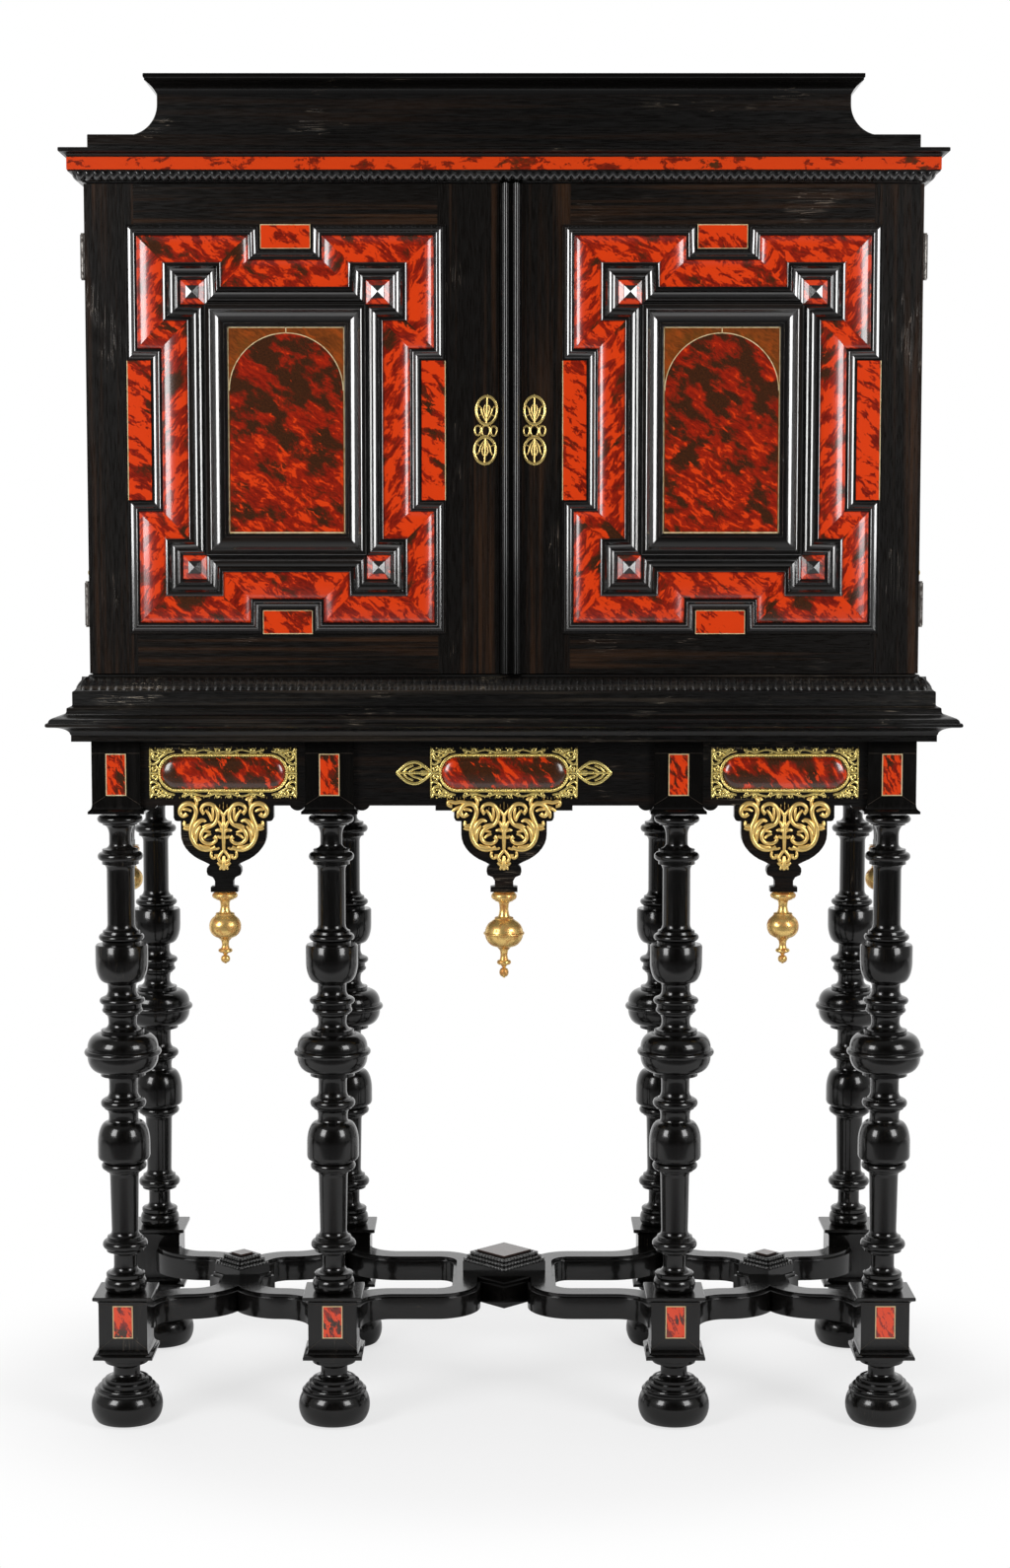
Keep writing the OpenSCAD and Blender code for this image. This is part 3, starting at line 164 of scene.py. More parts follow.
def soft_box(name, place, aim, size, watts):
    lamp = bpy.data.lights.new(name, "AREA")
    lamp.shape = "RECTANGLE"
    lamp.size, lamp.size_y = size
    lamp.energy = watts
    holder = bpy.data.objects.new(name, lamp)
    holder.location = place
    holder.rotation_euler = (Vector(aim) - Vector(place)).to_track_quat("-Z", "Y").to_euler()
    bpy.context.scene.collection.objects.link(holder)


soft_box("left_box", (-2.5, -2.4, 2.05), (0, -0.1, 1.3), (1.3, 1.7), 84)
soft_box("right_box", (2.5, -2.4, 2.05), (0, -0.1, 1.3), (1.3, 1.7), 76)
soft_box("ceiling_box", (0, 0.45, 3.6), (0, 0.1, 1.0), (2.6, 1.4), 30)

# Ebony and ebonised boards
# Veneers and solid boards in a black wood with brown streaks along the grain and
# fine dry cracks, waxed. The turned legs are of the same wood, polished higher.


def new_group(name, inputs, outputs):
    group = bpy.data.node_groups.new(name, "ShaderNodeTree")
    for way, sockets in (("INPUT", inputs), ("OUTPUT", outputs)):
        for label, kind in sockets.items():
            group.interface.new_socket(label, in_out=way, socket_type="NodeSocket" + kind)
    ends = group.nodes.new("NodeGroupInput"), group.nodes.new("NodeGroupOutput")
    return group, ends[0].outputs, ends[1].inputs


def noise(tree, vector, stretch, detail=4.0, roughness=0.55, distortion=0.0):
    inputs = {
        "Vector": math_node(tree, "MULTIPLY", vector, stretch, kind="VectorMath"),
        "Scale": 1.0, "Detail": detail, "Roughness": roughness, "Distortion": distortion,
    }
    return add(tree, "TexNoise", inputs).outputs[0]


def end_material(tree, colour, height, bump, depth, looks):
    """Closes a material with its colour, its fine relief and its other looks"""
    relief = add(tree, "Bump", {"Height": height, "Strength": bump, "Distance": depth})
    inputs = {"Base Color": colour, "Normal": relief.outputs[0], **looks}
    surface = add(tree, "BsdfPrincipled", inputs)
    add(tree, "OutputMaterial", {"Surface": surface.outputs[0]})


# Grain runs along X of the vector that comes in
marks = {"Streak": "Float", "Crack": "Float", "Pore": "Float"}
figure, (along_grain, *_), figure_out = new_group("wood_figure", {"Along": "Vector"}, marks)
fine = noise(figure, along_grain, (2.5, 190, 190), 5)
broad = noise(figure, along_grain, (1.6, 26, 26), 3)
streak = math_node(figure, "MULTIPLY", fine, broad)
figure.links.new(smooth_range(figure, streak, 0.22, 0.44), figure_out["Streak"])
line = noise(figure, along_grain, (7, 230, 230), 2, 0.5, 0.4)
from_middle = math_node(figure, "ABSOLUTE", math_node(figure, "SUBTRACT", line, 0.5))
thin = smooth_range(figure, from_middle, 0.0, 0.009, 1.0, 0.0)
patch = smooth_range(figure, noise(figure, along_grain, (9, 17, 17), 3), 0.56, 0.7)
figure.links.new(math_node(figure, "MULTIPLY", thin, patch), figure_out["Crack"])
figure.links.new(noise(figure, along_grain, (40, 900, 900), 2), figure_out["Pore"])


def turned_to(tree, vector, axis):
    """The same place with X along the grain axis"""
    turns = {"X": (0, 0, 0), "Y": (0, 0, pi / 2), "Z": (0, pi / 2, 0)}
    inputs = {"Vector": vector, "Rotation": turns[axis]}
    return add(tree, "Mapping", inputs, vector_type="TEXTURE").outputs[0]


def wood(
    name, along, dark=(0.0016, 0.0013, 0.0011), light=(0.01, 0.0052, 0.003),
    crack_colour=(0.2, 0.16, 0.12), roughness=0.3, crack_share=1.0, coat=0.0, bump=0.25, gloss=0.4,
):
    """A polished wood; along(tree) gives the place with X along the grain"""
    made, tree = new_material(name)
    grain = add(tree, "Group", {0: along(tree)}, node_tree=figure)
    streak, crack, pore = grain.outputs
    cracked = math_node(tree, "MULTIPLY", crack, crack_share)
    colour = blend(tree, cracked, blend(tree, streak, dark, light), crack_colour)
    rough = smooth_range(tree, pore, 0.3, 0.7, roughness - 0.05, roughness + 0.07)
    looks = {"Roughness": rough, "Coat Weight": coat, "Coat Roughness": 0.08}
    looks["Specular IOR Level"] = gloss
    end_material(tree, colour, math_node(tree, "SUBTRACT", pore, crack), bump, 0.0003, looks)
    return made


def grained(name, axis, **look):
    """A wood, ebony unless look changes it, with its grain along one axis"""
    return wood(name, lambda tree: turned_to(tree, object_place(tree), axis), **look)


def paint(material, *nodes):
    """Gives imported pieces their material"""
    for node in nodes:
        cad[node].data.materials.clear()
        cad[node].data.materials.append(material)


ebony_across = grained("ebony_across", "X")
worn_look = {"light": (0.034, 0.026, 0.019), "crack_colour": (0.3, 0.25, 0.19)}
ebony_worn = grained("ebony_worn", "X", **worn_look)
paint(ebony_across, "frieze_front", "frieze_back")
paint(grained("ebony_upright", "Z"), "side_left", "side_right")
paint(grained("ebony_deep", "Y"), "frieze_left", "frieze_right")


def turn_outwards(bm):
    """Points the faces outwards, one closed shell after another"""
    bmesh.ops.recalc_face_normals(bm, faces=bm.faces)
    left = set(bm.faces)
    while left:
        shell = grown = {left.pop()}
        while grown:
            grown = {near for face in grown for e in face.edges for near in e.link_faces} - shell
            shell |= grown
        left -= shell
        if sum(face.verts[0].co.dot(face.normal) * face.calc_area() for face in shell) < 0:
            bmesh.ops.reverse_faces(bm, faces=list(shell))


def finish_piece(bm, name, materials, body="cabinet", replaced=(), sharp=38):
    """Shades the mesh, makes it an object in place and sets it on its body"""
    turn_outwards(bm)
    for face in bm.faces:
        face.smooth = True
    limit = radians(sharp)
    for edge in bm.edges:
        edge.smooth = edge.is_manifold and edge.calc_face_angle(0) < limit
    mesh = bpy.data.meshes.new(name)
    bm.to_mesh(mesh)
    bm.free()
    for material in materials:
        mesh.materials.append(material)
    made = bpy.data.objects.new(name, mesh)
    bpy.context.scene.collection.objects.link(made)
    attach(made, body)
    if replaced:
        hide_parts(*replaced)
    return made


# Legs
# Eight legs, each turned from one length between two square blocks and polished
# black. Small mouldings are planted round the foot of each block.
polish = {
    "roughness": 0.2, "coat": 0.35, "crack_share": 0.25, "bump": 0.08, "gloss": 0.3,
    "dark": (0.002, 0.0018, 0.0016), "light": (0.0055, 0.0048, 0.0044),
}
polished_upright = grained("polished_upright", "Z", **polish)
stand_mid, front_y, back_y, case_half = 17.375, -206.875, 241.625, 576
foot_h, low_block_h, block_z = 101, 91, 878
column_z = foot_h + low_block_h
top_z, plinth_z, case_z, cornice_z = 984, 1030, 1076, 1750
leg_xs = (-542, -244, 244, 542)
leg_ys = (stand_mid - 190, stand_mid + 190)
square = ((-1, -1), (1, -1), (1, 1), (-1, 1))


def bead(z0, z1, r0, r1, steps=12):
    """A half-round swelling from r0 out to r1"""
    turns = [pi * (i / steps - 0.5) for i in range(steps + 1)]
    middle, half = (z0 + z1) / 2, (z1 - z0) / 2
    return [(r0 + (r1 - r0) * cos(a), middle + half * sin(a)) for a in turns]


def quarter(steps):
    return [pi / 2 * i / steps for i in range(steps + 1)]


def turn_up(z0, r0, z1, r1, steps=8):
    """A quarter curve that starts level and ends upright"""
    rise = z1 - z0
    return [(r0 + (r1 - r0) * sin(a), z0 + rise * (1 - cos(a))) for a in quarter(steps)]


def turn_out(z0, r0, z1, r1, steps=8):
    """A quarter curve that starts upright and ends level"""
    rise = z1 - z0
    return [(r0 + (r1 - r0) * (1 - cos(a)), z0 + rise * sin(a)) for a in quarter(steps)]


def raised(profile, z):
    return [(r, h + z) for r, h in profile]


base_profile = [
    *bead(0, 20, 25, 30), (25.5, 20.5), (27.2, 21.6), (27.5, 23), (27.5, 26), (26.6, 27),
    *turn_up(27.5, 26, 37, 16.5), *turn_out(52.5, 16.5, 58.5, 26.5), (26.5, 61.6),
    *bead(62, 75, 26, 32), (26, 75.5), *turn_up(80, 25, 89, 19),
]
middle_profile = [
    *turn_out(0, 20.5, 8, 26), *bead(10, 21, 27, 32), (28, 21.5), (28, 24),
    *turn_up(24.5, 33, 31, 37), *turn_out(48, 37, 79, 24, 14), *turn_up(79.5, 23, 85, 21),
    *turn_out(88, 21, 98, 27), *bead(100, 112, 27, 32), *turn_up(113, 26.5, 124, 20),
    *turn_out(136, 20, 145, 24), (31.5, 145.5), (31.5, 150.5),
    *turn_up(151, 33, 173, 50, 14), *bead(175, 184, 50, 54.5), *turn_out(186, 50, 206, 33, 14),
    (30.5, 206.5), (30.5, 211), *turn_up(211.5, 30, 221, 20), *turn_out(224, 20, 234, 24.5),
    *bead(236, 243, 25, 28.5), (27, 243.5), (27, 248), *bead(248.5, 258, 27, 32),
    *turn_up(259, 26, 269, 20), *turn_out(273, 20, 279, 23.5), *turn_up(279.5, 24, 309, 37, 14),
    (37, 331), (35.5, 333.5), (27, 334), (27, 338.5), *bead(339, 349, 26.5, 32), (26, 353),
    *turn_up(353.5, 25.5, 363, 19.5),
]
cap_profile = [
    *turn_out(0, 19.5, 9, 26), (26, 13.5), *bead(14, 26, 26.5, 32), (25.5, 26.5), (25.5, 30),
    *turn_up(30.5, 25, 38, 15.5), *turn_out(50, 15.5, 65, 24.5), *bead(67, 79, 25, 32), (25, 80),
]


def spun(bm, profile, x, y, z, segments=56):
    """Turns a profile of (radius, height) in mm about an upright axis"""
    ends = [(0, profile[0][1]), *profile, (0, profile[-1][1])]
    points = [bm.verts.new(((x + r) * mm, y * mm, (z + h) * mm)) for r, h in ends]
    edges = [bm.edges.new(pair) for pair in zip(points, points[1:])]
    bmesh.ops.spin(
        bm, geom=points + edges, cent=(x * mm, y * mm, 0), axis=(0, 0, 1), angle=2 * pi,
        steps=segments, use_merge=True,
    )
    bmesh.ops.remove_doubles(bm, verts=bm.verts, dist=0.01 * mm)


def ring_edges(bm, ring):
    """A closed ring of edges through the points"""
    corners = [bm.verts.new(point) for point in ring]
    return [bm.edges.new(pair) for pair in zip(corners, corners[1:] + corners[:1])]


def stacked(bm, rings):
    """Joins rings of points from the bottom up and closes both ends"""
    loops = [ring_edges(bm, ring) for ring in rings]
    bm.faces.new([e.verts[0] for e in loops[0]])
    for low, high in zip(loops, loops[1:]):
        bmesh.ops.bridge_loops(bm, edges=low + high)
    bmesh.ops.holes_fill(bm, edges=loops[-1])


def square_block(bm, steps, x, y):
    """Stacks squares of (half width, height) in mm"""
    rings = []
    for half, z in steps:
        rings.append([Vector((x + sx * half, y + sy * half, z)) * mm for sx, sy in square])
    stacked(bm, rings)


leg_profile = base_profile + raised(middle_profile, 167) + raised(cap_profile, 606)
block_foot = [(39.4, 3), (39.4, 6.6), (38, 7.8), (36.2, 9), (35, 11), (34.4, 13), (34, 16)]
upper_block = raised(block_foot, block_z) + [(34, top_z - 1), (33.4, top_z)]
low_foot = [(42, 0), (42, 3.6), (40.6, 5), (38, 6.2), (36, 8.6), (35, 11.6), (34.5, 14)]
low_head = [(34.5, -11), (35.4, -8.4), (37.4, -6.6), (40.4, -5.6), (42, -4.4), (42, -0.8)]
lower_block = raised(low_foot, foot_h) + raised([*low_head, (41.2, 0)], column_z)
for number in range(8):
    x, y = leg_xs[number % 4], leg_ys[number // 4]
    bm = bmesh.new()
    spun(bm, leg_profile, x, y, column_z)
    square_block(bm, lower_block, x, y)
    square_block(bm, upper_block, x, y)
    name = f"leg_{number + 1}"
    finish_piece(bm, name + "_turned", [polished_upright], replaced=[name])

# Feet
# Bun feet of the same black wood, turned apart from the legs and polished like them,
# with a neck and a collar under each block.
bun_turns = [radians(d) for d in range(-54, 57, 6)]
foot_profile = [
    (31, 0), *[(33 + 18 * cos(a), 25 + 26 * sin(a)) for a in bun_turns],
    (46, 45.5), (46, 48), *turn_out(49, 43, 54, 40), (36, 54.5), (36, 60), (31, 60.5), (31, 65),
    *turn_up(66, 29, 73, 19), *turn_out(80, 19, 88, 27.5), (31, 88.5), (31, 93), (39, 96),
    (39, foot_h),
]
bm = bmesh.new()
for x in leg_xs:
    for y in leg_ys:
        spun(bm, foot_profile, x, y, 0)
finish_piece(bm, "feet_turned", [polished_upright], replaced=["feet"])

# Stand top, plinth and cornice
# Boards with a moulding planed along the front and both sides and mitred at the
# front corners. The back is plain, to stand close to a wall.


def board_ring(x, y, back, z):
    return [Vector((cx, cy, z)) * mm for cx, cy in ((-x, y), (x, y), (x, back), (-x, back))]


def moulded_board(name, node, edge, material, back=back_y):
    """Stacks rings of (outward, height) in mm round the front and both sides"""
    bm = bmesh.new()
    stacked(bm, [board_ring(case_half + out, front_y - out, back, z) for out, z in edge])
    finish_piece(bm, name, [material], replaced=[node])


stand_top_edge = [
    (24, 0), (24, 9), *turn_out(10, 25, 21, 50, 10), (53.4, 21.6), (54.6, 22.6), (55, 24.5),
    (54.4, 26.4), (53, 27.2), *turn_out(28, 51, 35, 40), *turn_up(35.5, 39, 43, 29),
    (29, 45.4), (28.4, 46),
]
stand_back = back_y + 10
stand_top_edge = raised(stand_top_edge, top_z)
moulded_board("stand_top_board", "stand_top", stand_top_edge, ebony_worn, stand_back)

plinth_edge = [
    (29, 0), (28.6, 1), (22.8, 3.6), (22, 5), (22, 22), (21.4, 23.4), (19.4, 24.6), (1, 45.6),
    (1, case_z - plinth_z),
]
moulded_board("plinth_moulded", "cabinet_plinth", raised(plinth_edge, plinth_z), ebony_worn)

band_z, band_h = 15, 17
cornice_edge = [
    (1, 0), (14, 12.4), (18.6, 13), (19, 13.6), (19, band_z), (18, band_z), (18, band_z + band_h),
    (19, band_z + band_h), *turn_out(band_z + 18, 20, 38, 28.6, 6), (29.6, 38.6), (30, 39.6),
    (30, 42.6), (29.4, 43.6), (28, 44), (-5, 44.2), (-5, 65), (-5.6, 66),
]
moulded_board("cornice_moulded", "cornice", raised(cornice_edge, cornice_z), ebony_across)

# Ripple mouldings
# Short beads scraped across a strip in a toothed cradle. One strip runs under the
# cornice and one over the plinth, on the front and both sides.
ripple_pitch, bead_cuts, slope_cuts = 11.5, 8, 6


def merge(bm, other):
    """Adds another bmesh to this one"""
    mesh = bpy.data.meshes.new("scratch")
    other.to_mesh(mesh)
    other.free()
    bm.from_mesh(mesh)
    bpy.data.meshes.remove(mesh)


def ripple_strip(bm, start, end, out, rise, bulge):
    """Beads in a row from start to end on a strip that faces out in plan and whose
    section goes by rise, as (outward, upward)"""
    start, out = Vector(start), Vector(out)
    along = Vector(end) - start
    length, width = along.length, hypot(*rise)
    count = round(length / ripple_pitch)
    along.normalize()
    slope = (Vector((0, 0, rise[1])) + out * rise[0]).normalized()
    face = along.cross(slope).normalized()
    if face.dot(out) < 0:
        face = -face
    strip = bmesh.new()
    bmesh.ops.create_grid(strip, x_segments=count * bead_cuts, y_segments=slope_cuts, size=0.5)
    for v in strip.verts:
        a, b = (v.co.x + 0.5) * length, v.co.y
        wave = abs(sin(pi * count * a / length)) ** 0.8
        arch = sqrt(max(0.0, 1 - (2 * b) ** 2))
        lift = bulge * (0.15 + 0.85 * wave) * arch
        v.co = (start + along * a + slope * (b * width) + face * lift) * mm
    merge(bm, strip)


def ripple_round(name, low, high, bulge, material):
    """A ripple strip on a chamfer from low to high, each (outward, height)"""
    out, z = (low[0] + high[0]) / 2, (low[1] + high[1]) / 2
    rise = (high[0] - low[0], high[1] - low[1])
    x, y = case_half + out, front_y - out
    bm = bmesh.new()
    ripple_strip(bm, (-x, y, z), (x, y, z), (0, -1, 0), rise, bulge)
    ripple_strip(bm, (x, y, z), (x, back_y, z), (1, 0, 0), rise, bulge)
    ripple_strip(bm, (-x, back_y, z), (-x, y, z), (-1, 0, 0), rise, bulge)
    bmesh.ops.solidify(bm, geom=bm.faces, thickness=0.4 * mm)
    finish_piece(bm, name, [material], sharp=80)


polished_ripple = grained("polished_ripple", "X", **{**polish, "gloss": 0.8, "coat": 0.9})
cornice_low, cornice_high = (2, cornice_z + 1), (14.5, cornice_z + 12.6)
ripple_round("cornice_ripple", cornice_low, cornice_high, 4.4, polished_ripple)
ripple_round("plinth_ripple", (19, plinth_z + 25), (3, plinth_z + 43.5), 3.4, ebony_worn)

# Cresting
# A shallow box of ebonised boards on the cornice. Its ends are planed hollow, and a
# flared moulding is glued round the front and both sides of its top.
cresting_half, cresting_inset, hollow_r = 476, 14, 42
cresting_z = cornice_z + 66
rim_z = cresting_z + 55
cresting_rim = [
    (0, 0), (1.6, 3), (3.6, 6.4), (6.4, 9.8), (10, 13), (14.4, 16.4), (15.4, 17.2), (15.4, 19.4),
    (16.4, 20.2), (17, 21.4), (17, 25.2), (16.4, 26),
]
cresting_front = front_y + cresting_inset
rings = []
for turn in [radians(d) for d in range(-90, 1, 6)]:
    x = cresting_half + hollow_r * (1 - cos(turn))
    z = cresting_z + hollow_r * (1 + sin(turn))
    rings.append(board_ring(x, cresting_front, back_y, z))
for out, z in cresting_rim:
    rings.append(board_ring(cresting_half + out, cresting_front - out, back_y, rim_z + z))
bm = bmesh.new()
stacked(bm, rings)
for face in bm.faces:
    face.material_index = 1 if face.calc_center_median().z > rim_z * mm else 0
polished_across = grained("polished_across", "X", **polish)
cresting_woods = [ebony_across, polished_across]
finish_piece(bm, "cresting_moulded", cresting_woods, replaced=["cresting"])

# Door slabs and cover strip
# Each door is a veneered frame, upright grain in the stiles and level grain in the
# rails. The right door carries a reeded strip that covers the gap where they meet.
door_face = front_y
panel_x, panel_z = 300, 1413
stile_from_panel = 208.5
strip_x, strip_gap = -5.5, 1.5
leaves = {-1: ("left", "left_leaf"), 1: ("right", "right_leaf")}
board_look = {
    "dark": (0.0022, 0.0015, 0.001), "light": (0.028, 0.0125, 0.0055),
    "crack_colour": (0.17, 0.13, 0.1), "crack_share": 0.7,
}


def door_grain(side):
    """Gives the place with X along the grain: upright in the stiles, level between"""

    def along(tree):
        place = object_place(tree)
        from_panel = math_node(tree, "SUBTRACT", axes_of(tree, place)["X"], side * panel_x * mm)
        away = math_node(tree, "ABSOLUTE", from_panel)
        in_stile = math_node(tree, "GREATER_THAN", away, stile_from_panel * mm)
        ways = {0: in_stile, 4: turned_to(tree, place, "X"), 5: turned_to(tree, place, "Z")}
        return add(tree, "Mix", ways, data_type="VECTOR").outputs[1]

    return along


for side, (word, _) in leaves.items():
    paint(wood(f"door_veneer_{word}", door_grain(side), **board_look), f"door_{word}")


def grown_from(bm, outline):
    """A face through the points and a copy of it joined by walls; gives both rims"""
    low = [bm.verts.new(point) for point in outline]
    grown = bmesh.ops.extrude_face_region(bm, geom=[bm.faces.new(low)])["geom"]
    return low, [v for v in grown if isinstance(v, bmesh.types.BMVert)]


reed_turns = [pi * i / 10 for i in range(11)]
reed = [(7.5 - 3.6 * cos(a), 8 + 4 * sin(a)) for a in reed_turns]
strip_half = [(0, 0), (0, 5), (2.6, 5.4), (3.4, 6.4), (4, 8), *reed, (11.6, 6.4), (12.4, 5.6)]
strip_profile = strip_half + [(17.6, 5.6), (18.4, 6.4)] + [(30 - x, y) for x, y in reversed(reed)]
strip_profile += [(26.6, 6.4), (27.4, 5.4), (30, 5), (30, 0)]
strip_low = case_z + strip_gap
bm = bmesh.new()
outline = [Vector((strip_x + x, door_face - y, strip_low)) * mm for x, y in strip_profile]
for v in grown_from(bm, outline)[1]:
    v.co.z = (cornice_z - strip_gap) * mm
finish_piece(bm, "cover_strip_reeded", [polished_upright], "right_leaf", ["cover_strip"])

# Door mouldings
# Three moulding sections run round the centre and round a square boss at each
# corner of it, cut in short lengths with mitres that open outwards or close.
mitre_gap = 0.1
centre_w, centre_h, boss_w, reed_w, shell_w, edge_w, frame_w = 221, 343, 33, 23, 37, 16, 30
inner_section = [
    (0, 0), (0, 10.4), (0.6, 11.4), (3, 12), (4, 13.2), (5, 14.2), (6, 14.5), (7, 14.2), (8, 13.3),
    (8.6, 13.2), (9, 14), (11, 14.5), (13.4, 15.8), (15.4, 17.6), (17, 20), (17.6, 20.8),
    (18.4, 21), (22, 21), (22.7, 20.6), (23, 20), (23, 0),
]
shell_section = [
    (reed_w, 0), (reed_w, 17.4), (reed_w + 1, 18),
    *[(reed_w + 7 + 30 * sin(a), 9 + 9 * cos(a)) for a in quarter(14)],
    (reed_w + shell_w, 0),
]
outer_steps = [
    (0, 0), (0, 9), (0.6, 10), (2, 10.4), (3, 10.5), (4, 10.3), (5, 9.6), (5.4, 8.4), (6.4, 7.2),
    (8, 5.9), (10, 5), (11.8, 4.6), (12, 3.6), (12.6, 3.1), (15.4, 3), (16, 2.4), (16, 0),
]
outer_section = [(reed_w + shell_w + u, h) for u, h in outer_steps]
frame_section = [
    (0, 0), (0, 4.6), (0.6, 5.4), (3, 6), (4.4, 6.1), (5, 6.8), (8, 7), (12, 8), (16, 10),
    (19.6, 13), (22, 16), (23, 17.2), (24.6, 17.8), (28.8, 18), (29.5, 17.5), (29.5, 0),
]
boss_dx, boss_dz = (centre_w + boss_w) / 2, (centre_h + boss_w) / 2
boss_mitres = {
    (-1, 1): (1, 1, -1, 1), (1, 1): (1, 1, 1, -1), (1, -1): (-1, 1, 1, 1), (-1, -1): (1, -1, 1, 1),
}
draw = random.Random(7)


def laid_piece():
    """An empty mesh with the layer that holds each corner's place in the figure"""
    bm = bmesh.new()
    return bm, bm.verts.layers.float_vector.new("lay")


def lay_figure(lay, verts):
    """Lays one plate's figure at a place drawn at random"""
    shift = Vector((draw.uniform(-9, 9), draw.uniform(-9, 9), draw.uniform(-9, 9)))
    for v in verts:
        v[lay] = v.co * mm + shift


def mitred_frame(bm, lay, w, h, corners, section, middle=(0, 0)):
    """Four lengths of a section of (distance out, height); a corner is 1 where its
    mitre opens outwards"""
    for k in range(4):
        length, out = (w, h) if k % 2 == 0 else (h, w)
        outline = [(mitre_gap - corners[k] * u, u, height) for u, height in section]
        start, finish = grown_from(bm, outline)
        for v in finish:
            v.co.x = length - mitre_gap + corners[(k + 1) % 4] * v.co.y
        lay_figure(lay, start + finish)
        placed = Matrix.Translation((*middle, 0)) @ Matrix.Rotation(-pi / 2 * k, 4, "Z")
        placed = placed @ Matrix.Translation((-length / 2, out / 2, 0))
        bmesh.ops.transform(bm, matrix=placed, verts=start + finish)


def all_round(bm, lay, section):
    mitred_frame(bm, lay, centre_w, centre_h, (-1, -1, -1, -1), section)
    for (bx, bz), corners in boss_mitres.items():
        mitred_frame(bm, lay, boss_w, boss_w, corners, section, (bx * boss_dx, bz * boss_dz))


def stood_up(verts, x, y, z, flat=1.0):
    """Stands what was drawn flat, as (x, y, height) in mm, on a front face at a place"""
    for v in verts:
        v.co = Vector((x + v.co.x, y - v.co.z * flat, z + v.co.y)) * mm


def on_door(bm, side, name, materials, node=None, sharp=38):
    """Stands what was drawn flat on the face of a door and sets it on the leaf"""
    stood_up(bm.verts, side * panel_x, door_face, panel_z)
    word, leaf = leaves[side]
    replaced = [f"{node}_{word}"] if node else ()
    finish_piece(bm, name.format(word), materials, leaf, replaced, sharp)


def lay_place(tree):
    return add(tree, "Attribute", attribute_name="lay").outputs["Vector"]


ebony_moulding = wood(
    "ebony_moulding", lay_place, dark=(0.003, 0.0025, 0.0022), light=(0.012, 0.008, 0.006),
    crack_colour=(0.12, 0.09, 0.06), roughness=0.17, crack_share=0.4, coat=1.0, bump=0.06,
    gloss=1.0,
)
opening_w, opening_h = centre_w - 2 * frame_w, centre_h - 2 * frame_w
for side in leaves:
    bm, lay = laid_piece()
    all_round(bm, lay, inner_section)
    all_round(bm, lay, outer_section)
    mitred_frame(bm, lay, opening_w, opening_h, (1, 1, 1, 1), frame_section)
    on_door(bm, side, "mouldings_{}_ebony", [ebony_moulding], "mouldings", sharp=30)

# Tortoiseshell of the doors
# Thin plates of turtle shell over a red ground, glued on as ovolo mouldings, flat
# panels and bosses, and polished. Orange flames stand in a red and brown body.
shell_inputs = {"Place": "Vector", "Size": "Float", "Brown": "Float", "Flames": "Float"}
shell_inputs["Amber"] = "Float"
shell_outputs = {"Color": "Color", "Height": "Float"}
group, shell_in, shell_out = new_group("shell_figure", shell_inputs, shell_outputs)
sized = {0: shell_in["Place"], "Scale": shell_in["Size"]}
sized = add(group, "VectorMath", sized, operation="SCALE").outputs[0]
bend = add(group, "TexNoise", {"Vector": sized, "Scale": 0.55, "Detail": 2.0}).outputs["Color"]
bent = math_node(group, "MULTIPLY_ADD", bend, (0.9, 0.9, 0.9), sized, kind="VectorMath")
flame = noise(group, bent, (0.62, 1.8, 1.3), 5, 0.58, 0.35)
cloud = noise(group, bent, (0.3, 0.5, 0.4), 2)
streaks = noise(group, bent, (1.6, 14, 9), 4, 0.6)
mottle = noise(group, bent, (4.2, 7.5, 6), 3, 0.6)


def with_share(value, share, rest):
    return math_node(group, "MULTIPLY_ADD", value, share, rest)


tone = with_share(streaks, 0.6, math_node(group, "MULTIPLY", flame, 0.55))
red = blend(group, smooth_range(group, tone, 0.42, 0.72), (0.13, 0.006, 0.002), (0.4, 0.018, 0.003))
dark = with_share(mottle, 0.3, math_node(group, "ADD", cloud, shell_in["Brown"]))
dark = smooth_range(group, with_share(flame, -0.25, dark), 0.54, 0.68)
brown = blend(group, mottle, (0.012, 0.004, 0.002), (0.075, 0.022, 0.006))
spot = with_share(mottle, 0.22, math_node(group, "MULTIPLY", flame, 0.9))
spot = math_node(group, "ADD", with_share(cloud, -0.35, spot), shell_in["Flames"])
spot = smooth_range(group, spot, 0.4, 0.43)
amber_share = smooth_range(group, tone, 0.38, 0.7)
amber = blend(group, amber_share, (0.075, 0.026, 0.005), (0.2, 0.062, 0.008))
colour = blend(group, spot, blend(group, dark, red, brown), (0.66, 0.044, 0.004))
group.links.new(blend(group, shell_in["Amber"], colour, amber), shell_out["Color"])
group.links.new(streaks, shell_out["Height"])


def tortoiseshell(
    name, place, size, brown=0.0, flames=0.0, amber=0.0, darker_up=0.0, turn=(0, 0, 0.6)
):
    """Polished shell; the figure gets browner by darker_up over the height of a door"""
    made, tree = new_material(name)
    laid = add(tree, "Mapping", {"Vector": place(tree), "Rotation": turn}).outputs[0]
    inputs = {"Place": laid, "Size": size, "Brown": brown, "Flames": flames, "Amber": amber}
    if darker_up:
        height = axes_of(tree, object_place(tree))["Z"]
        for label, change in (("Brown", darker_up), ("Flames", -darker_up)):
            low = inputs[label]
            inputs[label] = smooth_range(tree, height, 1.32, 1.5, low, low + change)
    shell = add(tree, "Group", inputs, node_tree=group)
    looks = {"Roughness": 0.24, "Coat Weight": 0.5, "Coat Roughness": 0.1}
    end_material(tree, shell.outputs["Color"], shell.outputs["Height"], 0.05, 0.0003, looks)
    return made


